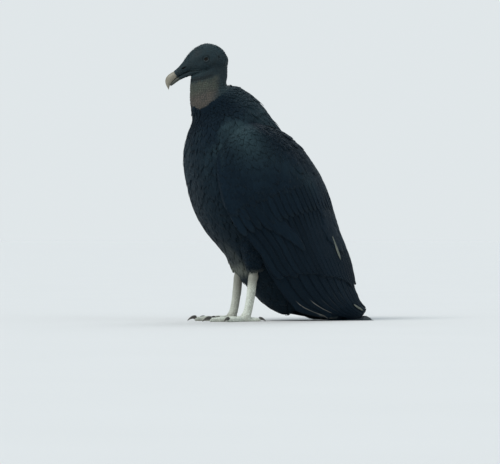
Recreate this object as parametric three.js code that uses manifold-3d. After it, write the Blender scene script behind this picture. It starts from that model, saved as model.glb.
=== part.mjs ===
// A black vulture (Coragyps atratus), life size, standing upright with folded wings and its
// tail laid on the ground behind it.
// Millimetres, +Z up. The bird faces -Y and its left side is +X. The origin is on the ground,
// under the middle of the bird's box.
import * as THREE from "three";
import { mergeVertices } from "three/addons/utils/BufferGeometryUtils.js";
import Module from "manifold-3d";

const wasm = await Module();
wasm.setup();

const gap = 0.3; // clearance between pieces that meet
const sides = { left: 1, right: -1 };

// ---------------------------------------------------------------- body plan

// Neck and trunk, from under the head to the tail: the ventral and dorsal outline points and
// half the width between them. squareness over 2 fills out the section's corners, and breadth
// moves its widest part towards the breast.
const trunkPlan = [
  { ventral: [-96, 426], dorsal: [-27, 456], halfWidth: 18, squareness: 2, breadth: 0 },
  { ventral: [-97.5, 404], dorsal: [-27, 428], halfWidth: 22.5, squareness: 2, breadth: 0 },
  { ventral: [-96.5, 378], dorsal: [-29, 413], halfWidth: 27, squareness: 2, breadth: 0 },
  { ventral: [-91, 350], dorsal: [-6, 409], halfWidth: 40, squareness: 2, breadth: 0.02 },
  { ventral: [-98, 326], dorsal: [24, 391], halfWidth: 59, squareness: 2.1, breadth: 0.05 },
  { ventral: [-103, 296], dorsal: [52, 356], halfWidth: 71, squareness: 2.3, breadth: 0.1 },
  { ventral: [-101, 262], dorsal: [81, 319], halfWidth: 78, squareness: 2.4, breadth: 0.13 },
  { ventral: [-94, 228], dorsal: [103, 279], halfWidth: 79, squareness: 2.4, breadth: 0.14 },
  { ventral: [-83.5, 192], dorsal: [114, 238], halfWidth: 76, squareness: 2.4, breadth: 0.12 },
  { ventral: [-64, 156], dorsal: [122, 200], halfWidth: 70, squareness: 2.3, breadth: 0.1 },
  { ventral: [-29, 114], dorsal: [128, 168], halfWidth: 59, squareness: 2.2, breadth: 0.06 },
  { ventral: [1, 70], dorsal: [132, 136], halfWidth: 49, squareness: 2.1, breadth: 0.02 },
  { ventral: [29, 39], dorsal: [134, 107], halfWidth: 39, squareness: 2, breadth: 0 },
  { ventral: [56, 18], dorsal: [135, 80], halfWidth: 30, squareness: 2, breadth: 0 },
  { ventral: [84, 8], dorsal: [134, 54], halfWidth: 21, squareness: 2, breadth: 0 },
];
const neckEndsAt = 0.215; // share of the plan that is neck

// Head: its own frame has its origin between the eyes, forward along the bill.
const head = { at: [0, -68.5, 459], pitch: 32, turn: 16 }; // bill down, and turned to its right
const headPlan = [
  { forward: -33.5, top: -9, bottom: -19, halfWidth: 6 },
  { forward: -31, top: 1.5, bottom: -26.5, halfWidth: 13 },
  { forward: -24, top: 12.5, bottom: -32, halfWidth: 18 },
  { forward: -13, top: 21.3, bottom: -31, halfWidth: 20 },
  { forward: 0, top: 24.2, bottom: -25, halfWidth: 20.6 },
  { forward: 10, top: 24.4, bottom: -21.5, halfWidth: 19.6 },
  { forward: 19, top: 22.4, bottom: -17, halfWidth: 16.8 },
  { forward: 28, top: 19, bottom: -9, halfWidth: 13.6 },
  { forward: 37, top: 15.2, bottom: -4, halfWidth: 10.6 },
  { forward: 46, top: 12.2, bottom: -2.6, halfWidth: 8.4 },
  { forward: 55, top: 10.2, bottom: -2.2, halfWidth: 7 },
  { forward: 60, top: 9.4, bottom: -2.2, halfWidth: 6.5 },
];
const jawPlan = [
  { forward: 12, top: -12, bottom: -22, halfWidth: 12 },
  { forward: 20, top: -7, bottom: -21.4, halfWidth: 11.6 },
  { forward: 30, top: -4, bottom: -17.6, halfWidth: 9.6 },
  { forward: 40, top: -3.2, bottom: -12.6, halfWidth: 7.4 },
  { forward: 50, top: -2.7, bottom: -10, halfWidth: 5.9 },
  { forward: 58, top: -2.6, bottom: -9, halfWidth: 5.2 },
];
// The horn that tips each half of the bill. The upper one hooks down over the lower one.
const upperHornPlan = [
  { forward: 60.3, top: 9.3, bottom: -2.2, halfWidth: 6.3 },
  { forward: 66, top: 9.6, bottom: -3, halfWidth: 6.1 },
  { forward: 72, top: 9, bottom: -4.6, halfWidth: 5.6 },
  { forward: 77, top: 6.9, bottom: -7, halfWidth: 4.7 },
  { forward: 81, top: 3, bottom: -9.8, halfWidth: 3.6 },
  { forward: 83.4, top: -2.6, bottom: -12.4, halfWidth: 2.4 },
  { forward: 84, top: -9.2, bottom: -13.6, halfWidth: 1.1 },
];
const lowerHornPlan = [
  { forward: 58.3, top: -2.7, bottom: -9, halfWidth: 5.1 },
  { forward: 64, top: -3.1, bottom: -9, halfWidth: 4.8 },
  { forward: 70, top: -3.9, bottom: -9, halfWidth: 4.1 },
  { forward: 75, top: -5.3, bottom: -8.8, halfWidth: 2.8 },
  { forward: 77.6, top: -6.6, bottom: -8.4, halfWidth: 1.2 },
];
const eye = { forward: 2, up: -2, out: 15.6, radius: 6.2 };

// Folded left wing, from the shoulder to the tips of the primaries: its leading edge, low on
// the flank, the outer corner that it bends round, its trailing edge, along the back, and its
// thickness.
const wingPlan = [
  { leading: [62, -62, 322], corner: [80, -30, 378], trailing: [46, 16, 346], thickness: 7 },
  { leading: [71, -73, 300], corner: [120, -8, 352], trailing: [38, 59, 333], thickness: 10 },
  { leading: [76, -76, 268], corner: [138, 29, 323], trailing: [27, 96, 307], thickness: 12 },
  { leading: [78, -71, 232], corner: [142, 56, 293], trailing: [19, 122, 281], thickness: 12 },
  { leading: [78, -59, 192], corner: [138, 76, 258], trailing: [15, 145, 248], thickness: 11 },
  { leading: [76, -35, 152], corner: [129, 93, 222], trailing: [13, 161, 214], thickness: 10 },
  { leading: [72, -2, 112], corner: [117, 106, 186], trailing: [12, 172, 180], thickness: 9 },
  { leading: [66, 19, 77], corner: [103, 122, 148], trailing: [11, 185, 146], thickness: 8 },
  { leading: [60, 47, 47], corner: [88, 138, 112], trailing: [10, 200, 112], thickness: 7 },
  { leading: [54, 79, 23], corner: [74, 156, 77], trailing: [9, 209, 80], thickness: 6 },
  { leading: [46, 112, 14], corner: [58, 176, 47], trailing: [8, 216, 52], thickness: 5 },
  { leading: [37, 156, 11], corner: [42, 199, 27], trailing: [7, 227, 30], thickness: 4 },
  { leading: [29, 202, 8], corner: [28, 225, 13], trailing: [7, 242, 15], thickness: 3 },
];
const wingParts = { coverts: [0, 0.42], secondaries: [0.42, 0.72], primaries: [0.72, 1] };
const wingFingers = { count: 5, notch: 0.045, slant: 0.1, roundness: 0.8 };

// Tail: an arc from its root down to the ground, then flat on it, in the plane x = 0.
const tail = {
  root: [80, 66],
  startAngle: 24, // from straight down, towards the back
  flatLength: 56,
  rootHalfWidth: 17,
  tipHalfWidth: 50,
  thickness: 5,
  tipThickness: 1.6,
  feathers: 12,
  notch: 0.03, // between two tips, as a share of the length
  roundness: 0.03, // how much shorter the outer feathers are
  rise: 5, // how far the middle feathers lie over the outer ones
};

// Legs. Each foot stands this far out of the middle, and this far back.
const stance = 33;
const ankleY = -7;
const thighPlan = [
  { at: [44, 22, 196], halfWidth: 22, halfDepth: 48 },
  { at: [43, 20, 160], halfWidth: 24, halfDepth: 47 },
  { at: [41, 17, 128], halfWidth: 22, halfDepth: 37 },
  { at: [38, 14, 104], halfWidth: 17, halfDepth: 25 },
  { at: [35.5, 10, 87], halfWidth: 11, halfDepth: 14.5 },
  { at: [34.5, 8.5, 79], halfWidth: 7.6, halfDepth: 9.4 },
];
const shankPlan = [
  { at: [34.3, 8, 84], halfWidth: 6.6, halfDepth: 8 },
  { at: [34, 7.4, 76], halfWidth: 7.4, halfDepth: 9 },
  { at: [33.8, 5.6, 67], halfWidth: 6.8, halfDepth: 8 },
  { at: [33.5, 4, 52], halfWidth: 6.2, halfDepth: 8 },
  { at: [33.3, 1.2, 34], halfWidth: 6, halfDepth: 7.6 },
  { at: [33, -2, 19], halfWidth: 6.8, halfDepth: 7.8 },
  { at: [33, -6, 10], halfWidth: 8.4, halfDepth: 9 },
  { at: [33, -7, 3], halfWidth: 8, halfDepth: 8.6 },
];
// Toes in the foot's own frame, under the shank: heading from straight ahead, outwards.
const toes = {
  hallux: { heading: 172, root: 7, length: 20, radius: 4.2, claw: 11 },
  inner: { heading: -27, root: 5, length: 42, radius: 5, claw: 14 },
  middle: { heading: 2, root: 6, length: 62, radius: 5.4, claw: 15 },
  outer: { heading: 31, root: 5, length: 45, radius: 4.8, claw: 13 },
};
const toeShape = { taper: 0.22, swelling: 0.1, swellings: 3, roundedTip: 0.62, flatten: 0.8 };
const clawShape = { rootShare: 0.55, tipRadius: 0.7, seat: 1.5 };

// ---------------------------------------------------------------- finishes

const finish = (color, roughness, metalness = 0) =>
  new THREE.MeshStandardMaterial({ color, roughness, metalness });
const finishes = {
  plumage: finish(0x16191d, 0.55),
  headSkin: finish(0x2b3033, 0.6),
  neckSkin: finish(0x4a4740, 0.65),
  horn: finish(0xb9ab8c, 0.35),
  legSkin: finish(0xb4b6a4, 0.6),
  claw: finish(0x1f1d1b, 0.4),
  eye: finish(0x120c09, 0.05),
};

// ---------------------------------------------------------------- tools

const radians = THREE.MathUtils.degToRad;
const lerp = THREE.MathUtils.lerp;

// Catmull-Rom value of a plan at share 0..1, for numbers and lists of numbers alike.
function along(plan, share) {
  const last = plan.length - 1;
  const i = Math.min(Math.floor(share * last), last - 1);
  const s = share * last - i;
  const four = [i - 1, i, i + 1, i + 2].map((k) => plan[Math.min(Math.max(k, 0), last)]);
  const blend = (a, b, c, d) =>
    b + (s * (c - a + s * (2 * a - 5 * b + 4 * c - d + s * (3 * (b - c) + d - a)))) / 2;
  return Object.fromEntries(
    Object.keys(plan[0]).map((key) => {
      const v = four.map((row) => row[key]);
      return [key, Array.isArray(v[0]) ? v[0].map((_, k) => blend(...v.map((p) => p[k]))) : blend(...v)];
    }),
  );
}

// A closed surface over a stack of rings with the same number of points, with a fan at each end.
function loft(rings) {
  const count = rings[0].length;
  const middle = (ring) =>
    ring.reduce((sum, p) => sum.add(p), new THREE.Vector3()).divideScalar(count);
  const points = [...rings.flat(), middle(rings[0]), middle(rings.at(-1))];
  const [firstEnd, lastEnd] = [points.length - 2, points.length - 1];
  const top = (rings.length - 1) * count;
  const faces = [];
  for (let k = 0; k < count; k++) {
    const next = (k + 1) % count;
    for (let base = 0; base < top; base += count) {
      faces.push(base + k, base + next, base + count + next);
      faces.push(base + k, base + count + next, base + count + k);
    }
    faces.push(firstEnd, next, k, lastEnd, top + k, top + next);
  }
  return new THREE.BufferGeometry().setFromPoints(points).setIndex(faces);
}

// Six times the volume that a closed indexed surface holds, negative if it faces inwards.
function signedVolume(geometry) {
  const [at, index] = [geometry.attributes.position, geometry.index];
  const corner = (k) => new THREE.Vector3().fromBufferAttribute(at, index.getX(k));
  let sum = 0;
  for (let k = 0; k < index.count; k += 3)
    sum += corner(k).dot(corner(k + 1).cross(corner(k + 2)));
  return sum;
}

function toSolid(geometry) {
  const bare = new THREE.BufferGeometry()
    .setAttribute("position", geometry.attributes.position)
    .setIndex(geometry.index);
  const merged = mergeVertices(bare, 1e-3);
  const triVerts = new Uint32Array(merged.index.array);
  if (signedVolume(merged) < 0) triVerts.reverse();
  const vertProperties = merged.attributes.position.array;
  return new wasm.Manifold(new wasm.Mesh({ numProp: 3, vertProperties, triVerts }));
}

// A solid's geometry. A cut can leave crumbs, so only its largest piece is kept.
function toGeometry(solid) {
  const whole = solid.decompose().reduce((a, b) => (b.volume() > a.volume() ? b : a));
  const mesh = whole.getMesh();
  const geometry = new THREE.BufferGeometry();
  geometry.setAttribute("position", new THREE.BufferAttribute(mesh.vertProperties, 3));
  geometry.setIndex(new THREE.BufferAttribute(mesh.triVerts, 1));
  geometry.computeVertexNormals();
  return geometry;
}

const bird = new THREE.Group();

function addPiece(name, solid, material, parent = bird) {
  const mesh = new THREE.Mesh(toGeometry(solid), material);
  mesh.name = name;
  parent.add(mesh);
  return mesh;
}

const signedPower = (v, power) => Math.sign(v) * Math.abs(v) ** power;

// ---------------------------------------------------------------- neck and trunk

function trunkRing(share, grow) {
  const { ventral, dorsal, halfWidth, squareness, breadth } = along(trunkPlan, share);
  const [front, back] = [ventral, dorsal].map(([y, z]) => new THREE.Vector3(0, y, z));
  const centre = front.clone().lerp(back, 0.5);
  const reach = front.clone().sub(centre);
  const halfDepth = reach.length();
  reach.normalize();
  const ringPoints = 24;
  return Array.from({ length: ringPoints }, (_, k) => {
    const angle = (2 * Math.PI * k) / ringPoints;
    const forward = signedPower(Math.cos(angle), 2 / squareness);
    const across = signedPower(Math.sin(angle), 2 / squareness) * (1 + breadth * forward);
    return centre
      .clone()
      .addScaledVector(reach, (halfDepth + grow) * forward)
      .add(new THREE.Vector3((halfWidth + grow) * across, 0, 0));
  });
}

function trunkStretch([from, to], steps, grow = 0) {
  const rings = [];
  for (let i = 0; i <= steps; i++) rings.push(trunkRing(lerp(from, to, i / steps), grow));
  return toSolid(loft(rings));
}

// ---------------------------------------------------------------- head

const headFrame = new THREE.Matrix4()
  .makeTranslation(...head.at)
  .multiply(new THREE.Matrix4().makeRotationZ(radians(-head.turn)))
  .multiply(new THREE.Matrix4().makeRotationX(radians(head.pitch)));

// A loft along the bill's direction. In the head's frame forward is -Y.
function headPart(plan, { ringPoints, steps, grow = 0 }) {
  const rings = Array.from({ length: steps + 1 }, (_, i) => {
    const { forward, top, bottom, halfWidth } = along(plan, i / steps);
    return Array.from({ length: ringPoints }, (_, k) => {
      const angle = (2 * Math.PI * k) / ringPoints;
      const up = lerp(bottom - grow, top + grow, 0.5 + Math.cos(angle) / 2);
      return new THREE.Vector3((halfWidth + grow) * Math.sin(angle), -forward, up);
    });
  });
  return toSolid(loft(rings).applyMatrix4(headFrame));
}

function eyeball(sign, grow = 0) {
  const ball = new THREE.SphereGeometry(eye.radius + grow, 12, 8);
  ball.translate(sign * eye.out, -eye.forward, eye.up);
  return toSolid(ball.applyMatrix4(headFrame));
}

// ---------------------------------------------------------------- wings

// A point of the left wing: share runs from the shoulder to the tip, across from the leading
// edge to the trailing one, round the corner.
function wingPoint(share, across) {
  const { leading, corner, trailing } = along(wingPlan, share);
  const [a, b, c] = [leading, corner, trailing].map((v) => new THREE.Vector3(...v));
  return a.lerp(b, across).lerp(b.clone().lerp(c, across), across);
}

function wingNormal(share, across) {
  const step = 0.01;
  const down = wingPoint(share + step, across).sub(wingPoint(share - step, across));
  const back = wingPoint(share, across + step).sub(wingPoint(share, across - step));
  return down.cross(back).normalize();
}

// Where the primaries end: a finger for each visible tip, the outer ones longer.
function fingerEnd(across) {
  const { count, notch, slant, roundness } = wingFingers;
  const lobe = Math.abs(Math.sin(Math.PI * count * across)) ** roundness;
  return 1 - notch * (1 - lobe) - slant * across;
}

function wingPart([from, to], sign, grow = 0) {
  const steps = 6;
  const acrossSteps = to < 1 ? 10 : 4 * wingFingers.count;
  const rim = grow ? 0.01 : 0;
  const rings = [];
  for (let i = 0; i <= steps; i++) {
    const [outer, inner] = [[], []];
    for (let k = 0; k <= acrossSteps; k++) {
      const across = k / acrossSteps;
      const share = lerp(from, to < 1 ? to : fingerEnd(across), i / steps);
      const roundness = 0.35 + 0.65 * Math.sqrt(Math.sin(Math.PI * lerp(0.05, 0.95, across)));
      const thickness = along(wingPlan, share).thickness * roundness;
      const face = wingPoint(share, lerp(-rim, 1 + rim, across));
      const normal = wingNormal(share, across);
      for (const [ring, depth] of [[outer, -grow], [inner, thickness + grow]]) {
        const p = face.clone().addScaledVector(normal, -depth);
        ring.push(new THREE.Vector3(sign * p.x, p.y, p.z));
      }
    }
    rings.push([...outer, ...inner.reverse()]);
  }
  return toSolid(loft(rings));
}

// ---------------------------------------------------------------- tail

// A point of the tail: share runs along it, across from -1 on the right to 1 on the left.
function tailPoint(share, across, depth, rise) {
  const start = radians(tail.startAngle);
  const radius = tail.root[1] / (1 - Math.sin(start));
  const bend = radius * (Math.PI / 2 - start);
  const run = share * (bend + tail.flatLength);
  const angle = start + Math.min(run, bend) / radius;
  const y = tail.root[0] + radius * (Math.cos(start) - Math.cos(angle)) + Math.max(run - bend, 0);
  const z = tail.root[1] - radius * (Math.sin(angle) - Math.sin(start));
  const x = across * lerp(tail.rootHalfWidth, tail.tipHalfWidth, share);
  const arch = rise * (1 - across * across) * share;
  const out = new THREE.Vector3(0, Math.cos(angle), Math.sin(angle));
  return new THREE.Vector3(x, y, z).addScaledVector(out, arch + depth);
}

function tailSolid() {
  const [steps, perFeather] = [6, 2];
  const acrossSteps = tail.feathers * perFeather;
  const rings = [];
  for (let i = 0; i <= steps; i++) {
    const [upper, under] = [[], []];
    for (let k = 0; k <= acrossSteps; k++) {
      const across = lerp(-1, 1, k / acrossSteps);
      const end = 1 - (k % perFeather ? 0 : tail.notch) - tail.roundness * across ** 2;
      const share = end * (i / steps);
      const thickness = lerp(tail.thickness, tail.tipThickness, share);
      upper.push(tailPoint(share, across, thickness, tail.rise));
      under.push(tailPoint(share, across, 0, 0));
    }
    rings.push([...upper, ...under.reverse()]);
  }
  return toSolid(loft(rings));
}

// ---------------------------------------------------------------- legs and feet

function legPart(plan, sign, grow = 0) {
  const [ringPoints, steps] = [12, 8];
  const rings = Array.from({ length: steps + 1 }, (_, i) => {
    const { at, halfWidth, halfDepth } = along(plan, i / steps);
    return Array.from({ length: ringPoints }, (_, k) => {
      const angle = (2 * Math.PI * k) / ringPoints;
      return new THREE.Vector3(
        sign * at[0] + (halfWidth + grow) * Math.cos(angle),
        at[1] + (halfDepth + grow) * Math.sin(angle),
        at[2],
      );
    });
  });
  return toSolid(loft(rings));
}

// The radius of a toe or claw at a share of its length, and how high its middle lies.
function toeSize(toe, part, share) {
  if (part === "claw") {
    const radius = lerp(toe.radius * clawShape.rootShare, clawShape.tipRadius, share ** 0.8);
    return { radius, height: Math.max(toe.radius * (1 - 0.9 * share ** 2), radius * 0.6) };
  }
  const { taper, swelling, swellings, roundedTip, flatten } = toeShape;
  const joints = 1 + swelling * Math.cos(2 * Math.PI * swellings * share);
  const radius = toe.radius * joints * (1 - taper * share) * (share < 1 ? 1 : roundedTip);
  return { radius, height: toe.radius * (1 - taper * share) * flatten };
}

// A toe, flat underneath, or its claw, which curves down from the toe's end to the ground.
function toeSolid(sign, toe, part, grow = 0) {
  const [ringPoints, steps] = [8, part === "claw" ? 4 : 6];
  const [start, run] =
    part === "claw" ? [toe.length - clawShape.seat, toe.claw] : [0, toe.length];
  const turn = radians(sign * toe.heading);
  const ahead = new THREE.Vector3(Math.sin(turn), -Math.cos(turn), 0);
  const across = new THREE.Vector3(-ahead.y, ahead.x, 0);
  const rings = [];
  for (let i = 0; i <= steps; i++) {
    const { radius, height } = toeSize(toe, part, i / steps);
    const distance = toe.root + start + (run * i) / steps;
    const centre = ahead.clone().multiplyScalar(distance).setZ(height);
    rings.push(
      Array.from({ length: ringPoints }, (_, k) => {
        const angle = (2 * Math.PI * (k + 0.5)) / ringPoints;
        const p = centre.clone().addScaledVector(across, (radius + grow) * Math.sin(angle));
        p.z = Math.max(p.z + (radius + grow) * Math.cos(angle), 0);
        return p;
      }),
    );
  }
  return toSolid(loft(rings));
}

// ---------------------------------------------------------------- the bird

const seam = 0.0012; // share of a wing that parts one stretch from the next
const wingRooms = [];
for (const [side, sign] of Object.entries(sides))
  for (const [part, [from, to]] of Object.entries(wingParts)) {
    const solid = wingPart([from, to < 1 ? to - seam : to], sign);
    addPiece(`wing_${side}_${part}`, solid, finishes.plumage);
    wingRooms.push(wingPart([from, to], sign, gap));
  }
const wingRoom = wasm.Manifold.union(wingRooms);

const headSolid = (grow) => headPart(headPlan, { ringPoints: 18, steps: 12, grow });
const jawSolid = (grow) => headPart(jawPlan, { ringPoints: 10, steps: 6, grow });
const upperHorn = (grow) => headPart(upperHornPlan, { ringPoints: 12, steps: 8, grow });
const lowerHorn = headPart(lowerHornPlan, { ringPoints: 10, steps: 5 });
const skull = headSolid(0).subtract(eyeball(1, gap)).subtract(eyeball(-1, gap));
addPiece("head", skull, finishes.headSkin);
addPiece("lower_jaw", jawSolid(0).subtract(headSolid(gap)), finishes.headSkin);
addPiece("bill_upper", upperHorn(0), finishes.horn);
addPiece("bill_lower", lowerHorn.subtract(upperHorn(gap)), finishes.horn);
for (const [side, sign] of Object.entries(sides))
  addPiece(`eye_${side}`, eyeball(sign), finishes.eye);

const neck = trunkStretch([0, neckEndsAt - seam], 6)
  .subtract(headSolid(gap))
  .subtract(jawSolid(gap));
addPiece("neck", neck, finishes.neckSkin);
const trunk = (grow) => trunkStretch([neckEndsAt, 1], 18, grow);
addPiece("trunk", trunk(0).subtract(wingRoom), finishes.plumage);
const bodyRoom = trunk(gap).add(wingRoom);
addPiece("tail", tailSolid().subtract(bodyRoom), finishes.plumage);

for (const [side, sign] of Object.entries(sides)) {
  addPiece(`thigh_${side}`, legPart(thighPlan, sign).subtract(bodyRoom), finishes.plumage);
  const shank = legPart(shankPlan, sign).subtract(legPart(thighPlan, sign, gap)).subtract(bodyRoom);
  addPiece(`shank_${side}`, shank, finishes.legSkin);

  const foot = new THREE.Group();
  foot.position.set(sign * stance, ankleY, 0);
  bird.add(foot);
  let taken = legPart(shankPlan, sign, gap).translate([-sign * stance, -ankleY, 0]);
  for (const [name, toe] of Object.entries(toes)) {
    const room = toeSolid(sign, toe, "toe", gap);
    addPiece(`toe_${side}_${name}`, toeSolid(sign, toe, "toe").subtract(taken), finishes.legSkin, foot);
    addPiece(`claw_${side}_${name}`, toeSolid(sign, toe, "claw").subtract(room), finishes.claw, foot);
    taken = taken.add(room);
  }
}

// The origin goes under the middle of the box.
const box = new THREE.Box3().setFromObject(bird);
const middle = box.getCenter(new THREE.Vector3());
bird.position.set(-middle.x, -middle.y, -box.min.z);

export default bird;
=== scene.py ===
import math
import bpy
import numpy as np
from mathutils import Matrix, Vector


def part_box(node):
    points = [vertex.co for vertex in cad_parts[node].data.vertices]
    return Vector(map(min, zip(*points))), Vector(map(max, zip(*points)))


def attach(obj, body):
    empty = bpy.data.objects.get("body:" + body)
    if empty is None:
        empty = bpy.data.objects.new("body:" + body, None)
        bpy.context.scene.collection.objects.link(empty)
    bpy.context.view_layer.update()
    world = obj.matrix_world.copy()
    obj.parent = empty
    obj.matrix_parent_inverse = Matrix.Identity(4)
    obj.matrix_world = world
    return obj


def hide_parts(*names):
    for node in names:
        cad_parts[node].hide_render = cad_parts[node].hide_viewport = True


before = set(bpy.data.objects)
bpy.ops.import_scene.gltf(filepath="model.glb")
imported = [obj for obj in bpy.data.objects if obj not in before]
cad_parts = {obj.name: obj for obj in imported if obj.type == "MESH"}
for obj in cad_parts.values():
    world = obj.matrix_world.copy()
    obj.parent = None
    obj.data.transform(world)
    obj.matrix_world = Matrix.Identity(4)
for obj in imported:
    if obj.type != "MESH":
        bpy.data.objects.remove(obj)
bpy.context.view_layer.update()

rng = np.random.default_rng(41)
mm = 0.001

# The matrix that turns a point about one axis, by degrees.
def rotation(axis, degrees):
    return np.array(Matrix.Rotation(math.radians(degrees), 3, axis))


# The bird's plans below are in millimetres from the ground between its feet, and the head's in
# a frame of its own: headPlace is its origin there. planOrigin is where the ground point lies in
# the row frame, worked out from the eyes.
headPlace = np.array([0.0, -68.5, 459.0])
headTurn = rotation("Z", -16) @ rotation("X", 32)
eyeSettings = {
    "forward": 2.0, "up": -2.0, "out": 15.6, "radius": 6.2,
    "openLong": 4.3, "openHigh": 3.5, "tilt": -12,
}
eyeMiddles = [np.array(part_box(f"eye_{side}")).mean(0) for side in ("left", "right")]
eyeShift = headTurn @ np.array([0.0, -eyeSettings["forward"], eyeSettings["up"]])
planOrigin = (np.mean(eyeMiddles, axis=0) - (headPlace + eyeShift) * mm) * np.array([0, 1, 0])

viewSettings = {"azimuth": 68.0, "distance": 6.0, "aside": 0.014, "height": 0.15575, "width": 0.875}


# Level, turned about the vertical, with a lens of the sensor times the distance over the width seen.
def makeCamera():
    turn = math.radians(viewSettings["azimuth"])
    back = Vector((math.sin(turn), -math.cos(turn), 0))
    aside = Vector((math.cos(turn), math.sin(turn), 0))
    camera = bpy.data.objects.new("camera", bpy.data.cameras.new("camera"))
    camera.data.sensor_width = 36
    camera.data.lens = 36 * viewSettings["distance"] / viewSettings["width"]
    camera.data.clip_end = 60
    middle = Vector(planOrigin) + aside * viewSettings["aside"]
    camera.location = middle + back * viewSettings["distance"]
    camera.location.z = viewSettings["height"]
    camera.rotation_euler = (math.pi / 2, 0, turn)
    bpy.context.scene.collection.objects.link(camera)
    bpy.context.scene.camera = camera


makeCamera()


# Suns as soft as large diffusers: degrees round from the camera, degrees up, strength, softness.
studioSettings = {
    "key": (-48, 46, 1.9, 26, (0.98, 0.99, 0.97)),
    "fill": (62, 22, 0.5, 60, (0.86, 0.96, 1.0)),
    "rim": (165, 50, 0.8, 40, (0.88, 0.96, 1.0)),
    "world": (0.42, (0.80, 0.94, 1.0)),
    "floor": (0.76, 0.745, 0.745),
}


# Three soft suns and an even pale sky. Camera rays that miss the floor see the floor's own
# brightness: its colour times the suns' strengths times their heights, over pi, plus the sky.
def makeStudio():
    s = studioSettings
    glow, tint = s["world"]
    light = glow * np.array(tint)
    for name in ("key", "fill", "rim"):
        around, up, strength, softness, colour = s[name]
        turn, rise = math.radians(viewSettings["azimuth"] + around), math.radians(up)
        way = Vector((math.sin(turn) * math.cos(rise), -math.cos(turn) * math.cos(rise), math.sin(rise)))
        sun = bpy.data.lights.new(name, "SUN")
        sun.energy, sun.angle, sun.color = strength, math.radians(softness), colour
        holder = bpy.data.objects.new(name, sun)
        holder.rotation_euler = way.to_track_quat("Z", "Y").to_euler()
        bpy.context.scene.collection.objects.link(holder)
        light = light + strength * math.sin(rise) / math.pi * np.array(colour)
    world = bpy.data.worlds.new("studio")
    world.use_nodes = True
    tree = world.node_tree
    even = tree.nodes["Background"]
    even.inputs["Color"].default_value = (*tint, 1)
    even.inputs["Strength"].default_value = glow
    seen = tree.nodes.new("ShaderNodeBackground")
    seen.inputs["Color"].default_value = (*(light * np.array(s["floor"])), 1)
    path = tree.nodes.new("ShaderNodeLightPath")
    mix = tree.nodes.new("ShaderNodeMixShader")
    tree.links.new(path.outputs["Is Camera Ray"], mix.inputs[0])
    tree.links.new(even.outputs[0], mix.inputs[1])
    tree.links.new(seen.outputs[0], mix.inputs[2])
    tree.links.new(mix.outputs[0], tree.nodes["World Output"].inputs["Surface"])
    bpy.context.scene.world = world
    bpy.context.scene.view_settings.view_transform = "Standard"


makeStudio()

# A smooth step from 0 at low to 1 at high: three t squared less two t cubed.
def ease(value, low=0.0, high=1.0):
    t = np.clip((np.asarray(value, float) - low) / (high - low), 0, 1)
    return t * t * (3 - 2 * t)


# Catmull-Rom values of a plan's rows at shares 0..1.
def samplePlan(plan, share):
    rows = np.asarray(plan, float)
    last = len(rows) - 1
    x = np.clip(share, 0, 1) * last
    i = np.minimum(x.astype(int), last - 1)
    s = (x - i)[..., None]
    a, b, c, d = (rows[np.clip(i + k, 0, last)] for k in (-1, 0, 1, 2))
    return b + s * (c - a + s * (2 * a - 5 * b + 4 * c - d + s * (3 * (b - c) + d - a))) / 2


# Each vector over its own length.
def unit(v):
    return v / np.maximum(np.linalg.norm(v, axis=-1, keepdims=True), 1e-9)


# A mesh from points in plan millimetres. faceSets is a list of (rows of corners, smooth).
def buildMesh(name, points, faceSets, uvMaps=None, values=None):
    mesh = bpy.data.meshes.new(name)
    points = np.asarray(points, float) * mm + planOrigin
    corners = np.concatenate([np.asarray(f).ravel() for f, _ in faceSets]).astype(np.int32)
    sizes = np.concatenate([np.full(len(f), f.shape[1]) for f, _ in faceSets]).astype(np.int32)
    smooth = np.concatenate([np.full(len(f), flag) for f, flag in faceSets])
    starts = np.concatenate([[0], np.cumsum(sizes)[:-1]]).astype(np.int32)
    mesh.vertices.add(len(points))
    mesh.vertices.foreach_set("co", points.astype(np.float32).ravel())
    mesh.loops.add(len(corners))
    mesh.loops.foreach_set("vertex_index", corners)
    mesh.polygons.add(len(sizes))
    mesh.polygons.foreach_set("loop_start", starts)
    mesh.polygons.foreach_set("loop_total", sizes)
    mesh.polygons.foreach_set("use_smooth", smooth)
    mesh.update(calc_edges=True)
    for mapName, uv in (uvMaps or {}).items():
        layer = mesh.uv_layers.new(name=mapName)
        layer.data.foreach_set("uv", uv[corners].astype(np.float32).ravel())
    for valueName, value in (values or {}).items():
        attribute = mesh.attributes.new(valueName, "FLOAT", "POINT")
        attribute.data.foreach_set("value", np.asarray(value, np.float32).ravel())
    piece = bpy.data.objects.new(name, mesh)
    bpy.context.scene.collection.objects.link(piece)
    return piece


# The same faces, turned round if they enclose a negative volume.
def outwards(points, sets):
    first, second, third = (points[sets[0][0][:, k]] for k in range(3))
    volume = np.sum(np.cross(second - first, third - first) * (first - points.mean(0)))
    return sets if volume > 0 else [(f[:, ::-1], flag) for f, flag in sets]


# Points of a closed form made of rings, with its faces pointing out.
def closedRings(points, rings, count):
    return points, outwards(points, ringFaces(rings, count))


# Quads between rings of count points each, and the two end caps.
def ringFaces(rings, count):
    k = np.arange(count)
    base = np.arange(rings - 1)[:, None] * count
    nxt = (k + 1) % count
    sides = np.stack([base + k, base + nxt, base + count + nxt, base + count + k], -1)
    return [(sides.reshape(-1, 4), True), (k[::-1][None], True), (((rings - 1) * count + k)[None], True)]


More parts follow.
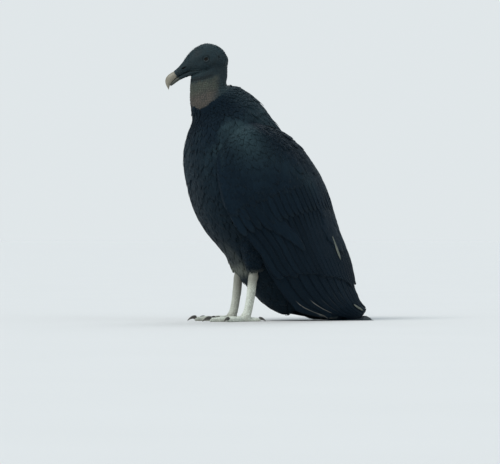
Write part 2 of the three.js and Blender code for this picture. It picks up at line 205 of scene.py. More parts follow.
# Neck and trunk: ventral y z, dorsal y z, half width, squareness, breadth.
trunkPlan = [
    (-96, 426, -27, 456, 18, 2.0, 0.00), (-97.5, 404, -27, 428, 22.5, 2.0, 0.00),
    (-96.5, 378, -29, 413, 27, 2.0, 0.00), (-91, 350, -6, 409, 40, 2.0, 0.02),
    (-98, 326, 24, 391, 59, 2.1, 0.05), (-103, 296, 52, 356, 71, 2.3, 0.10),
    (-101, 262, 81, 319, 78, 2.4, 0.13), (-94, 228, 103, 279, 79, 2.4, 0.14),
    (-83.5, 192, 114, 238, 76, 2.4, 0.12), (-64, 156, 122, 200, 70, 2.3, 0.10),
    (-29, 114, 128, 168, 59, 2.2, 0.06), (1, 70, 132, 136, 49, 2.1, 0.02),
    (29, 39, 134, 107, 39, 2.0, 0.00), (56, 18, 135, 80, 30, 2.0, 0.00),
    (84, 8, 134, 54, 21, 2.0, 0.00),
]


# A point of the neck and trunk. The angle runs from the breast round the left side.
def trunkSurface(share, angle, grow=0.0):
    p = samplePlan(trunkPlan, share)
    power = 2 / p[..., 5]
    front, back = np.zeros(p.shape[:-1] + (3,)), np.zeros(p.shape[:-1] + (3,))
    front[..., 1:], back[..., 1:] = p[..., 0:2], p[..., 2:4]
    reach = (front - back) / 2
    depth = np.linalg.norm(reach, axis=-1)
    c, s = np.cos(angle), np.sin(angle)
    forward = np.sign(c) * np.abs(c) ** power
    across = np.sign(s) * np.abs(s) ** power * (1 + p[..., 6] * forward)
    point = (front + back) / 2 + unit(reach) * ((depth + grow) * forward)[..., None]
    point[..., 0] += (p[..., 4] + grow) * across
    return point


# Folded wing: leading edge, corner and trailing edge.
wingPlan = [
    (62, -62, 322, 80, -30, 378, 46, 16, 346), (71, -73, 300, 120, -8, 352, 38, 59, 333),
    (76, -76, 268, 138, 29, 323, 27, 96, 307), (78, -71, 232, 142, 56, 293, 19, 122, 281),
    (78, -59, 192, 138, 76, 258, 15, 145, 248), (76, -35, 152, 129, 93, 222, 13, 161, 214),
    (72, -2, 112, 117, 106, 186, 12, 172, 180), (66, 19, 77, 103, 122, 148, 11, 185, 146),
    (60, 47, 47, 88, 138, 112, 10, 200, 112), (54, 79, 23, 74, 156, 77, 9, 209, 80),
    (46, 112, 14, 58, 176, 47, 8, 216, 52), (37, 156, 11, 42, 199, 27, 7, 227, 30),
    (29, 202, 8, 28, 225, 13, 7, 242, 15),
]


# The outer face of a folded wing. Its top and upper edges sink into the plumage.
# Across, it is the first line times (1 - t) squared, the middle one times 2t(1 - t) and the last times
# t squared.
def wingSurface(side):
    def surface(share, across):
        p = samplePlan(wingPlan, share)
        t = np.clip(np.asarray(across, float), 0, 1)[..., None]
        point = p[..., :3] * (1 - t) ** 2 + p[..., 3:6] * 2 * t * (1 - t) + p[..., 6:9] * t**2
        over = np.maximum(np.asarray(share, float) - 1, 0)[..., None]
        ahead = samplePlan(wingPlan, np.ones(1))[0] - samplePlan(wingPlan, np.array([0.97]))[0]
        point = point + over / 0.03 * (ahead[:3] * (1 - t) + ahead[6:9] * t)
        under = np.minimum(np.asarray(share, float), 0)[..., None]
        point = point + under * np.array([0.0, -60.0, -150.0])
        sink = 16 * (1 - ease(share, -0.02, 0.13))
        sink = sink + 6 * ease(across, 0.72, 1.0) * (1 - ease(share, 0.03, 0.14))
        sink = sink + 5 * (1 - ease(across, 0.0, 0.12)) * (1 - ease(share, 0.1, 0.4))
        point[..., 2] -= 6 * ease(share, 0.8, 0.95) * (1 - ease(across, 0.3, 0.8))
        middle = np.array([0.0, 20.0, 0.0])
        inward = middle - point
        inward[..., 2] = -40 * (1 - ease(share, 0.0, 0.2))
        point = point + unit(inward) * sink[..., None]
        past = np.asarray(across, float) - t[..., 0]
        point[..., 0] -= 150 * np.abs(past)
        point[..., 0] *= side
        return point

    return surface


tailPlan = {"rootY": 80, "rootZ": 66, "start": math.radians(24), "flat": 56, "rootHalf": 17, "tipHalf": 50}


# The upper face of the tail, before the feathers' own lift.
def tailSurface(share, across):
    t = tailPlan
    radius = t["rootZ"] / (1 - math.sin(t["start"]))
    bend = radius * (math.pi / 2 - t["start"])
    run = np.asarray(share, float) * (bend + t["flat"])
    angle = t["start"] + np.clip(run, -60, bend) / radius
    extra = np.maximum(run - bend, 0)
    out = np.stack([0 * angle, np.cos(angle), np.sin(angle)], -1)
    y = t["rootY"] + radius * (math.cos(t["start"]) - np.cos(angle)) + extra
    z = t["rootZ"] - radius * (np.sin(angle) - math.sin(t["start"]))
    x = across * (t["rootHalf"] + (t["tipHalf"] - t["rootHalf"]) * share)
    rise = (5 * (1 - np.asarray(across, float) ** 2) * np.clip(share, 0, 1) + 1.0)[..., None]
    return np.stack([x, y, z], -1) + out * rise


thighPlan = [
    (44, 22, 196, 22, 48), (43, 20, 160, 24, 47), (41, 17, 128, 22, 37),
    (38, 14, 104, 17, 25), (35.5, 10, 87, 11, 14.5), (34.5, 8.5, 79, 7.6, 9.4),
    (34.2, 7.6, 72, 6.2, 7.8),
]


# The feathered thigh. The angle runs from the front round the outer side.
# Each section is an oval: half the width times the angle's sine, and half the depth times its cosine.
def thighSurface(side):
    def surface(share, angle):
        p = samplePlan(thighPlan, share)
        x = p[..., 0] + p[..., 3] * np.sin(angle)
        y = p[..., 1] - p[..., 4] * np.cos(angle)
        return np.stack([side * x, y, p[..., 2] + 0 * x], -1)

    return surface


# Point, both derivatives and the outward normal. outOf tells which way is out.
def surfaceFrame(surface, a, b, outOf):
    step = 1e-3
    point = surface(a, b)
    alongA = (surface(a + step, b) - surface(a - step, b)) / (2 * step)
    alongB = (surface(a, b + step) - surface(a, b - step)) / (2 * step)
    normal = unit(np.cross(alongA, alongB))
    if outOf is not None:
        normal = normal * np.sign(np.sum(normal * (point - outOf(point)), -1, keepdims=True))
    return point, alongA, alongB, normal


vaneRows = {
    "tiny": np.array([0, 0.5, 1]),
    "small": np.array([0, 0.3, 0.56, 0.76, 0.89, 0.965, 1]),
    "long": np.concatenate([np.linspace(0, 0.8, 15), [0.86, 0.91, 0.95, 0.98, 1]]),
}


# Share of the full half width along a feather: narrow root, full blade, rounded tip.
def halfWidths(s, shape):
    root, tipFrom, tipPower = shape
    blade = root + (1 - root) * ease(s, 0, 0.45)
    end = np.clip((s - tipFrom) / (1 - tipFrom), 0, 1)
    return blade * np.maximum((1 - end**tipPower) ** (1 / tipPower), 0.12)


# UV maps of a tract: vane runs over each feather, and OFBake gives it a patch at its root's place, or a
# cell of its own where the feathers are long.
def featherMaps(tract, rows, columns, a0, b0):
    n, nS, nW = len(a0), len(rows), len(columns)
    vane = np.empty((n, nS, nW, 2))
    vane[..., 0] = (columns * 0.5 + 0.5)[None, None, :]
    vane[..., 1] = rows[None, :, None]
    patch = 0.0015
    bake = np.empty_like(vane)
    bake[..., 0] = 0.01 + 0.98 * ((b0 - b0.min()) / np.ptp(b0))[:, None, None] + patch * columns
    bake[..., 1] = 0.01 + 0.98 * ((a0 - a0.min()) / max(np.ptp(a0), 1e-6))[:, None, None]
    bake[..., 1] += patch * (2 * rows[None, :, None] - 1)
    if tract.get("ownCells"):
        across = int(math.ceil(math.sqrt(n * 4)))
        down = int(math.ceil(n / across))
        k = np.arange(n)
        cell = np.stack([(k % across) / across, (k // across) / down], -1)
        bake = cell[:, None, None, :] + vane * np.array([0.94 / across, 0.96 / down]) + 0.003
    return {"vane": vane.reshape(-1, 2), "OFBake": np.clip(bake.reshape(-1, 2), 0, 1)}


# What the feather material reads at each point: tone from dark to light, darkened by painted shade, pale for
# the shaft, painted highlight with random mottle for the paler plumage, and chalk for whitish stains.
def featherLooks(tract, get, rows, point, spot):
    n, nW = spot.shape[0], spot.shape[2]
    paintedShadow = paintedBackShadow(spot)
    tone = 0.5 * rng.uniform(0, 1, n) + 0.5 * (0.5 + 0.9 * softNoise(point[:, 0], 34, 51)) + get("shade")
    tone = np.clip(tone, 0, 1)[:, None, None] * (1 - 0.7 * paintedShadow)
    low, high = tract.get("palePart", (0, 1))
    window = ease(rows, low, low + 0.06) * (1 - ease(rows, high - 0.06, high + 0.001))
    pale = get("pale")[:, None, None] * window[None, :, None] * np.ones(nW)
    mottle = tract.get("mottle", 0) * np.clip(softNoise(point[:, 0], 21, 77), 0, 1)
    bloom = (get("bloom") + mottle)[:, None, None] * (1 - 0.9 * paintedShadow) + paintedShoulderHighlight(spot)
    tips = get("tipChalk")[:, None, None] * rows[None, :, None] ** 20
    chalk = get("chalk")[:, None, None] + tips + 0 * tone
    chalk = chalk + tract.get("soil", 0) * soiled(spot)
    return {"tone": tone, "pale": pale, "bloom": bloom, "chalk": chalk}


# A coat piece: closed thin vanes that lie on a surface. tract holds, for each feather, its root a
# and b, heading (radians from +a), length, width, lift, offset and bow.
def layFeathers(name, surface, outOf, tract):
    rows = vaneRows[tract.get("rows", "small")]
    columns = tract.get("columns", np.linspace(-1, 1, 11))
    n, nS, nW = len(tract["a"]), len(rows), len(columns)
    get = lambda key: np.broadcast_to(np.asarray(tract.get(key, 0), float), (n,))
    a0, b0, heading, length, width = (get(k) for k in ("a", "b", "heading", "length", "width"))
    lift, offset, bow, camber = (get(k) for k in ("lift", "offset", "bow", "camber"))
    stray = rng.uniform(0, 1, n) < tract.get("stray", 0)
    heading = heading + stray * rng.normal(0, 0.4, n)
    lift = lift + stray * rng.uniform(0, 1.6, n)
    if "endA" in tract:
        s = rows[None, :]
        bendA = a0[:, None] + (get("endA") - a0)[:, None] * s
        bendB = b0[:, None] + (get("endB") - b0)[:, None] * s ** get("endPower")[:, None]
    else:
        _, pa, pb, normal = surfaceFrame(surface, a0, b0, outOf)
        flow = unit(pa)
        aside = np.cross(normal, flow)
        flow = flow * np.cos(heading)[:, None] + aside * np.sin(heading)[:, None]
        da, db = inPlane(pa, pb, flow)
        s = rows[None, :] * length[:, None]
        bendA, bendB = a0[:, None] + da[:, None] * s, b0[:, None] + db[:, None] * s
    point, pa, pb, normal = surfaceFrame(surface, bendA, bendB, outOf)
    flow = unit(np.gradient(point, axis=1))
    aside = np.cross(normal, flow)
    half = halfWidths(rows, tract.get("shape", (0.5, 0.6, 2.2)))[None, :] * width[:, None] / 2
    lean = tract.get("lean", 0.0)
    ragged = 1 + tract.get("ragged", 0.09) * rng.standard_normal((n, nS, nW)) * (rows > 0.5)[None, :, None]
    c = (columns + lean * (1 - columns**2))[None, None, :] * half[..., None] * ragged
    da, db = inPlane(pa, pb, aside)
    fa, fb = inPlane(pa, pb, flow)
    slip = tract.get("slip", 0.05) * rng.standard_normal((n, 1, nW)) * rows[None, :, None] ** 6
    slip = slip * np.linalg.norm(point[:, -1] - point[:, 0], axis=-1)[:, None, None]
    vertexA = bendA[..., None] + da[..., None] * c + fa[..., None] * slip
    vertexB = bendB[..., None] + db[..., None] * c + fb[..., None] * slip
    base, _, _, up = surfaceFrame(surface, vertexA, vertexB, outOf)
    arch = camber[:, None, None] * (1 - columns**2)[None, None, :]
    arch = arch + get("tilt")[:, None, None] * columns * np.minimum(4 * rows, 1)[None, :, None]
    shaft = tract.get("rachis", 0.0) * np.exp(-((columns / 0.05) ** 2))
    arch = arch + shaft * (1 - 0.7 * rows)[None, :, None]
    height = offset[:, None] + lift[:, None] * rows[None, :] ** 1.3 - bow[:, None] * rows[None, :] ** 6
    spot = base + up * (height[..., None] + arch)[..., None]
    points = spot.reshape(-1, 3)
    points[:, 2] = np.maximum(points[:, 2], tract.get("floor", 0.4))

    grid = np.arange(nS * nW).reshape(nS, nW)
    top = np.stack([grid[:-1, :-1], grid[1:, :-1], grid[1:, 1:], grid[:-1, 1:]], -1).reshape(-1, 4)
    under = np.stack([grid[:-1, 0], grid[:-1, -1], grid[1:, -1], grid[1:, 0]], -1)
    each = np.arange(n) * nS * nW
    spread = lambda f: (f[None] + each[:, None, None]).reshape(-1, f.shape[1])
    faceSets = [(spread(top), True), (spread(under), False)]
    faceSets += [(spread(grid[:1]), False), (spread(grid[-1:, ::-1]), False)]

    uvMaps = featherMaps(tract, rows, columns, a0, b0)
    values = featherLooks(tract, get, rows, point, spot)
    piece = buildMesh(name, points, faceSets, uvMaps, values)
    print(f"{name}: {n} feathers")
    return piece


# Place, size and strengths of the painted highlight over the wing's bend.
shoulderHighlightSettings = {
    "y": -38.0, "z": 318.0, "round": 32.5, "glow": 0.82, "rim": 0.16, "band": 0.13, "tertials": 0.24,
}


# Painted highlight: how much paler a feather is painted by its place on the wing, where light falls on it:
# a dome over the wing's bend that leans back as it falls, a thin rim along the front edge, and a faint band
# from the bend down to the tertials.
def paintedShoulderHighlight(p):
    s = shoulderHighlightSettings
    y, z = p[..., 1], p[..., 2]
    over = z - s["z"] - 16
    glow = np.exp(-(((y - s["y"] - 2 + 0.32 * over) / 33) ** 2) - (over / np.where(over > 0, 26, 54)) ** 2)
    front = (y - s["y"]) / s["round"]
    hind = 0.75 * front * ease(z, s["z"] - 18, s["z"] + 12)
    arch = np.hypot(np.where(front < 0, front, hind), np.maximum(z - s["z"], 0) / s["round"])
    dome = s["glow"] * glow * (1 - ease(arch, 0.86, 1.08))
    rim = s["rim"] * bump(arch, 0.9, 0.09) * (front < 0) * ease(z, 252, 274) * (1 - ease(z, 322, 344))
    along = ease(y, -40, 0) * (1 - ease(y, 104, 124))
    amount = s["band"] + (s["tertials"] - s["band"]) * bump(y, 96, 22)
    band = amount * bump(z, 292 - 0.5 * y, 17) * along
    return (dome + rim + band) * bump(np.abs(p[..., 0]), 84, 40)


# Painted shadow: how much darker a feather is painted in the hollow between the back and the folded wing's
# upper edge.
def paintedBackShadow(p):
    y, z = p[..., 1], p[..., 2]
    along = ease(y, -22, 0) * (1 - ease(y, 56, 84))
    return bump(z, 340 - 0.5 * (y + 12), 20) * along * ease(np.abs(p[..., 0]), 30, 54)


# How much whitish stain lies on the feathers between the legs, over the right shank and, faintly,
# up the front of the belly.
def soiled(p):
    x, y, z = p[..., 0], p[..., 1], p[..., 2]
    amount = np.maximum(ease(112 - z, 0, 24), 0.4 * ease(150 - z, 0, 30))
    tuft = np.maximum(ease(z, 70, 88), ease(-x, 16, 26))
    return amount * tuft * bump(y, -5 - 0.6 * np.maximum(z - 100, 0), 15) * ease(34 - x, 0, 14)


# How far to go in a and b for one millimetre along way, a tangent of the surface.
def inPlane(pa, pb, way):
    aa, bb, ab = (np.sum(u * v, -1) for u, v in ((pa, pa), (pb, pb), (pa, pb)))
    wa, wb = np.sum(way * pa, -1), np.sum(way * pb, -1)
    det = np.maximum(aa * bb - ab * ab, 1e-9)
    return (wa * bb - wb * ab) / det, (wb * aa - wa * ab) / det


# From the head's own frame to the plan: turned, then moved.
def headToPlan(p):
    return p @ headTurn.T + headPlace


# The same backwards: moved back, then turned back.
def planToHead(p):
    return (p - headPlace) @ headTurn


# Skull, jaw and horns in the head's own frame: forward, top, bottom, half width.
skullPlan = [
    (-33.5, -9, -19, 6), (-31, 1.5, -26.5, 13), (-24, 12.5, -32, 18), (-13, 21.3, -31, 20),
    (0, 24.2, -25, 20.6), (10, 24.4, -21.5, 19.6), (19, 22.4, -17, 16.8), (28, 19, -9, 13.6),
    (37, 15.2, -4, 10.6), (46, 12.2, -2.6, 8.4), (55, 10.2, -2.2, 7), (61, 9.2, -2.2, 6.3),
]
jawPlan = [
    (12, -12, -22, 12), (20, -7, -21.4, 11.6), (30, -4, -17.6, 9.6),
    (40, -3.2, -12.6, 7.4), (50, -2.7, -10, 5.9), (59, -2.6, -9, 5.1),
]
upperHornPlan = [
    (55, 9.6, -1.8, 6.2), (60.3, 9.3, -2.6, 6.2), (66, 9.6, -3.2, 6.1), (72, 9, -4.8, 5.6),
    (77, 6.9, -7.2, 4.7), (81, 3, -10, 3.6), (83.4, -2.6, -12.6, 2.4), (84, -9.2, -13.8, 1.1),
]
lowerHornPlan = [
    (54, -3.2, -8.6, 4.8), (58.3, -2.7, -9, 4.9), (64, -2.6, -9.2, 4.6), (70, -3.2, -9.6, 3.8),
    (75, -4.8, -9.8, 2.6), (77.6, -6.4, -9.4, 1.2),
]


# Upright ellipses along the head: half width times sine, height from bottom to top.
def headLoft(plan, rings=40, count=40):
    p = samplePlan(plan, np.linspace(0, 1, rings))[:, None, :]
    a = (np.linspace(0, 2 * math.pi, count, endpoint=False))[None, :]
    z = p[..., 2] + (p[..., 1] - p[..., 2]) * (0.5 + np.cos(a) / 2)
    grid = np.stack([p[..., 3] * np.sin(a), -p[..., 0] + 0 * a, z], -1)
    return closedRings(headToPlan(grid.reshape(-1, 3)), rings, count)


coatDepth = 7.5


# Closed rings of the neck and trunk between two shares, sunk under the coat.
def trunkLoft(low, high, rings, count, grow=0.0):
    share = np.linspace(low, high, rings)[:, None]
    angle = np.linspace(0, 2 * math.pi, count, endpoint=False)[None, :]
    share, angle = np.broadcast_arrays(share, angle)
    grow = grow - coatDepth * ease(share, 0.16, 0.24)
    return closedRings(trunkSurface(share, angle, grow).reshape(-1, 3), rings, count)


# Points and face sets of several closed forms as one.
def joined(parts):
    points, faces, start = [], [], 0
    for p, sets in parts:
        faces += [(f + start, flag) for f, flag in sets]
        points.append(p)
        start += len(p)
    return np.concatenate(points), faces


# One even closed surface over the union of closed forms: points, normals and quads.
def remeshed(name, parts, voxel, smoothing):
    rough = buildMesh(name, *joined(parts))
    grid = rough.modifiers.new("voxels", "REMESH")
    grid.mode = "VOXEL"
    grid.voxel_size = voxel * mm
    soft = rough.modifiers.new("smooth", "SMOOTH")
    soft.iterations = smoothing
    soft.factor = 0.5
    bpy.context.view_layer.update()
    done = rough.evaluated_get(bpy.context.evaluated_depsgraph_get()).to_mesh()
    points, normals = np.empty(len(done.vertices) * 3), np.empty(len(done.vertices) * 3)
    done.vertices.foreach_get("co", points)
    done.vertices.foreach_get("normal", normals)
    corners = np.empty(len(done.loops), np.int32)
    done.loops.foreach_get("vertex_index", corners)
    bpy.data.objects.remove(rough)
    points = (points.reshape(-1, 3) - planOrigin) / mm
    return points, normals.reshape(-1, 3), corners.reshape(-1, 4)


# Moves each point towards the mean of its neighbours, by weight, and gives new normals.
def relaxed(points, quads, weight, rounds):
    a, b = quads.ravel(), np.roll(quads, -1, 1).ravel()
    count = np.bincount(a, minlength=len(points)) + np.bincount(b, minlength=len(points))
    for _ in range(rounds):
        total = np.stack([
            np.bincount(a, points[b, k], len(points)) + np.bincount(b, points[a, k], len(points))
            for k in range(3)
        ], -1)
        points = points + (0.6 * weight)[:, None] * (total / count[:, None] - points)
    q = points[quads]
    face = np.cross(q[:, 2] - q[:, 0], q[:, 3] - q[:, 1])
    normal = np.stack([np.bincount(a, np.repeat(face[:, k], 4), len(points)) for k in range(3)], -1)
    return points, unit(normal)


cellPrimes = (73856093, 19349663, 83492791)
seedStep = 2654435


# A fixed pseudo-random number from 0 to 1 for each whole-number cell.
def lattice(i, seed):
    i = i.astype(np.int64)
    n = sum(i[..., k] * prime for k, prime in enumerate(cellPrimes)) + seed * seedStep
    n = (n ^ (n >> 13)) * 1274126177 & 0x7FFFFFFF
    return ((n ^ (n >> 15)) & 0xFFFFF) / 0xFFFFF


corners3 = np.array([(i, j, k) for i in (0, 1) for j in (0, 1) for k in (0, 1)])
around3 = np.array([(i, j, k) for i in (-1, 0, 1) for j in (-1, 0, 1) for k in (-1, 0, 1)])


# Smooth value noise from -1 to 1, in cells of size millimetres.
def softNoise(points, size, seed=0):
    q = points / size
    cell = np.floor(q)
    f = ease(q - cell)
    total = 0
    for corner in corners3:
        total = total + np.prod(np.where(corner, f, 1 - f), -1) * lattice(cell + corner, seed)
    return 2 * total - 1


# Rounded cells: 0 in the creases between scattered points, 1 on each cell.
def pebbles(points, size, seed=0):
    q = points / size
    cell = np.floor(q)
    first = np.full(len(q), 9.0)
    second = first.copy()
    for step in around3:
        c = cell + step
        spot = c + 0.1 + 0.8 * np.stack([lattice(c, seed + k) for k in range(3)], -1)
        d = np.linalg.norm(spot - q, axis=-1)
        second = np.minimum(np.maximum(d, first), second)
        first = np.minimum(d, first)
    return ease(second - first, 0, 0.55)


# Rounded ridges with narrow creases, from -1 to 1, one for each turn of phase.
def folds(phase):
    return 2 * np.abs(np.sin(math.pi * phase)) ** 0.7 - 1


# A bell: 1 at the middle, and 1 over e one width away.
def bump(value, middle, width):
    return np.exp(-(((value - middle) / width) ** 2))


remeshSettings = {"head": {"voxel": 0.83, "smoothing": 7}, "leg": {"voxel": 1.02, "smoothing": 5}}
foldSettings = {"crown": 0.42, "nape": 0.5, "neck": 0.55, "face": 0.2, "grain": 0.1}


# How much of the bare throat's pale patch lies at each point: it runs down the front of the neck. The patch
# is partly painted light: the lit front of the neck is painted paler than the head's dark skin.
def throatPatch(p, back, warp):
    throat = ease(-54 - 0.34 * np.maximum(410 - p[:, 2], 0) - p[:, 1] + 2.5 * warp, -8, 8)
    throat = throat * ease(p[:, 2] - 366 - 0.68 * (p[:, 1] + 84) + 2 * warp, -3, 8)
    throat = throat * ease(424.5 - p[:, 2] + 0.28 * back + 2.5 * warp, -4, 4)
    return throat * (1 - 0.35 * np.clip(softNoise(p, 5.5, 71), 0, 1))


# The folds, as a push along the normals. spot holds the fields that the folds follow.
def headFolds(p, spot):
    s = foldSettings
    x, forward, z, warp, down, onNeck, eyeDistance = (
        spot[key] for key in ("x", "forward", "z", "warp", "down", "onNeck", "eyeDistance")
    )
    grain = softNoise(p, 1.9, 11)
    onFace = 1 - onNeck

    # folds over the crown run from side to side, and deepen down the nape
    turn = np.arctan2(z + 3, forward + 8)
    turn = np.where(turn < -2.2, turn + 2 * math.pi, turn)
    arc = turn * 27 + 0.12 * x
    crown = ease(turn, 1.0, 1.9) * ease(z + 0.35 * (18 - forward) - 0.25 * x, 2, 12) * onFace
    crown = crown * ease(eyeDistance, 8, 14)
    push = s["crown"] * crown * folds(arc / 3.3 + 0.55 * warp)
    push += s["crown"] * 0.5 * crown * folds(x / 3.6 + 0.8 * softNoise(p, 6, 21)) * ease(x, 2, 6)

    # folds of the hind head and cheek run down and round behind the eye and ear
    hind = onFace * ease(-forward + 0.4 * z, 4, 14) * (1 - 0.6 * crown)
    push += s["nape"] * 0.6 * hind * folds((eyeDistance + 2.2 * warp) / 3.7)
    around = onFace * ease(eyeDistance, 6.6, 8) * (1 - ease(eyeDistance, 10, 14))
    push += s["face"] * around * folds(eyeDistance / 1.9 + 0.25 * warp)
    lores = onFace * ease(forward, 8, 18) * (1 - ease(forward, 34, 46))
    push += s["face"] * lores * folds((forward * 0.5 + z) / 2.9 + 0.9 * warp)

    # the neck's creases cross each other and leave it pebbled
    sideways = np.arctan2(np.abs(p[:, 0]), -(p[:, 1] + 62)) * 32
    rings = folds(down / 4.6 + 0.12 * sideways / 4 + 0.5 * warp)
    cross = folds(sideways / 4.1 + 0.6 * softNoise(p, 7, 31))
    pebble = 2 * pebbles(p, 3.6, 7) - 1
    push += s["neck"] * onNeck * (0.34 * rings + 0.22 * cross + 0.62 * pebble)
    chin = s["neck"] * 0.35 * onFace * ease(-z, 4, 14) * (2 * pebbles(p, 2.9, 9) - 1)
    push += chin * ease(22 - forward, 0, 8)
    push += s["grain"] * grain * (1 - ease(forward, 40, 60))
    return push


# Adds the broad forms and the openings to a push, and gives the openings' own masks.
def headForms(push, spot):
    x, forward, z, ahead, above = (spot[key] for key in ("x", "forward", "z", "ahead", "above"))

    # broad forms: brow, hollow before the eye, cheek, crown furrow
    broad = 1.1 * bump(x, 16, 5) * bump(above, 9.5, 3.2) * bump(ahead, 2, 9)
    broad -= 1.3 * bump(ahead, 13, 5) * bump(above, 1, 5) * ease(x, 8, 14)
    broad += 1.0 * bump(ahead, -2, 9) * bump(above, -10, 5) * ease(x, 10, 16)
    broad -= 0.5 * bump(x, 0, 3.5) * bump(forward, 12, 14) * ease(z, 10, 18)

    # the gape lies between the mandibles and curls down at its corner
    gapeLine = np.interp(forward, [16, 22, 28, 37, 46, 61], [-15.5, -13.2, -9.4, -4.4, -2.9, -2.4])
    gape = bump(z, gapeLine, 0.75) * ease(forward, 15, 20) * ease(x, 2, 5)
    lips = bump(np.abs(z - gapeLine), 1.9, 0.9) * ease(forward, 16, 24) * ease(x, 2, 5)

    slot = ((forward - 42.5) / 5.0) ** 2 + ((z - 5.2 - 0.12 * (forward - 42.5)) / 1.75) ** 2
    nostril = 1 - ease(np.sqrt(slot), 0.55, 1.0)
    nostrilRim = bump(np.sqrt(slot), 1.25, 0.25)
    hole = np.hypot((forward + 19) / 2.0, (z + 11) / 3.0)
    ear = 1 - ease(hole, 0.4, 1.0)
    earRim = bump(hole, 1.3, 0.3)
    sides = ease(x, 3, 5)
    push += broad - 1.2 * gape + 0.35 * lips - (2.6 * nostril - 0.45 * nostrilRim) * sides
    push += (-1.3 * ear + 0.35 * earRim) * ease(x, 8, 12)
    return push, gape, nostril * sides, ear * ease(x, 8, 12)


# The eye socket: skin inside the lids drops behind the ball, and the lids meet its surface.
def sinkSocket(p, spot):
    x, ahead, above = (spot[key] for key in ("x", "ahead", "above"))
    head = planToHead(p)
    tilt = math.radians(eyeSettings["tilt"])
    u = ahead * math.cos(tilt) - above * math.sin(tilt)
    v = ahead * math.sin(tilt) + above * math.cos(tilt)
    opening = np.hypot(u / eyeSettings["openLong"], v / eyeSettings["openHigh"])
    near = (x > 8) & (opening < 2.2)
    side = np.sign(head[:, 0])
    lidOut = lidHeight(np.hypot(u, v)) + 0.2
    target = np.where(opening < 1, 11.0, lidOut)
    weight = np.where(opening < 1, 1.0, 1 - ease(opening, 1.0, 1.9)) * near
    head[:, 0] = side * (np.abs(head[:, 0]) * (1 - weight) + target * weight)
    return headToPlan(head)


# The bare head and neck: the union of skull, jaw and neck, pushed along its normals by folds, lids,
# gape, nostril and ear worked out in the head's own frame.
def headSkin():
    parts = [headLoft(skullPlan), headLoft(jawPlan), trunkLoft(0, 0.235, 40, 64, -1.2)]
    p, n, quads = remeshed("roughHead", parts, **remeshSettings["head"])
    head = planToHead(p)
    join = ease(14 + head[:, 1], 0, 10) * ease(-head[:, 2], 4, 12) * ease(p[:, 2], 392, 402)
    p, n = relaxed(p, quads, join, 60)
    head = planToHead(p)
    x, forward, z = np.abs(head[:, 0]), -head[:, 1], head[:, 2]
    warp = softNoise(p, 9, 3) + 0.5 * softNoise(p, 4.3, 5)
    back = p[:, 1] - (-62)
    down = 432 - p[:, 2]
    ahead, above = forward - eyeSettings["forward"], z - eyeSettings["up"]
    spot = {
        "x": x, "forward": forward, "z": z, "warp": warp, "down": down, "ahead": ahead, "above": above,
        "onNeck": ease(down - 0.25 * back, 2, 16), "eyeDistance": np.hypot(ahead, above),
    }
    throat = throatPatch(p, back, warp)
    # Painted shadow: a dark band along the jaw's lower edge.
    jaw = bump(p[:, 2], 428.5 + 0.28 * back, 3.4) * (1 - ease(p[:, 1], -68, -56))
    push = headFolds(p, spot)
    fold = np.clip(push / 0.5, -1, 1)
    push, gape, nostril, ear = headForms(push, spot)
    p = sinkSocket(p + n * push[:, None], spot)
    # Painted shade: the gape, nostril and ear are painted near-black, with the shadow under the jaw.
    corner = 0.45 + 0.55 * ease(forward, 20, 36)
    dark = np.clip(gape * corner + nostril + 0.45 * ear + 0.6 * jaw, 0, 1)
    warm = ease(402 + 0.3 * back - p[:, 2] + 4 * softNoise(p, 12, 61), -10, 10)
    values = {"fold": fold, "throat": throat, "dark": dark, "leg": 0 * x, "lid": 0 * x, "warm": warm}
    return p, [(quads, True)], values


# How far out the eyeball's surface stands at a distance r from its axis.
def lidHeight(r):
    e = eyeSettings
    return e["out"] + np.sqrt(np.maximum(e["radius"] ** 2 - r**2, 4))


# Two soft rolls round the eye's opening: a tube along an ellipse that lies on the ball.
def eyelids(side):
    e = eyeSettings
    steps, count = 72, 12
    turn = np.linspace(0, 2 * math.pi, steps, endpoint=False)
    point = np.sign(np.sin(turn)) * np.abs(np.sin(turn)) ** 1.15
    u, v = (e["openLong"] + 0.35) * np.cos(turn), (e["openHigh"] + 0.3) * point
    tilt = math.radians(-e["tilt"])
    forward, up = u * math.cos(tilt) - v * math.sin(tilt), u * math.sin(tilt) + v * math.cos(tilt)
    out = lidHeight(np.hypot(u, v)) + 0.25
    path = np.stack([out, -forward - e["forward"], up + e["up"]], -1)
    radius = 0.72 + 0.3 * ease(v, 0, 3) + 0.08 * folds(turn / 0.33)
    along = unit(np.roll(path, -1, 0) - np.roll(path, 1, 0))
    outward = np.array([1.0, 0, 0])
    aside = unit(np.cross(along, outward))
    outward = np.cross(aside, along)
    a = np.linspace(0, 2 * math.pi, count, endpoint=False)
    ring = aside[:, None] * np.cos(a)[None, :, None] + outward[:, None] * np.sin(a)[None, :, None]
    p = (path[:, None] + ring * radius[:, None, None]).reshape(-1, 3)
    i, j = np.meshgrid(np.arange(steps), np.arange(count), indexing="ij")
    k = lambda m, q: (m % steps) * count + q % count
    quads = np.stack([k(i, j), k(i, j + 1), k(i + 1, j + 1), k(i + 1, j)], -1).reshape(-1, 4)
    if side < 0:
        p[:, 0] *= -1
        quads = quads[:, ::-1]
    low = np.repeat(1 - ease(v, -2.5, 1.5), count)
    zero = np.zeros(len(p))
    values = {"fold": zero, "throat": zero, "dark": zero, "leg": zero, "lid": 0.85 * low, "warm": zero}
    return headToPlan(p), [(quads, True)], values


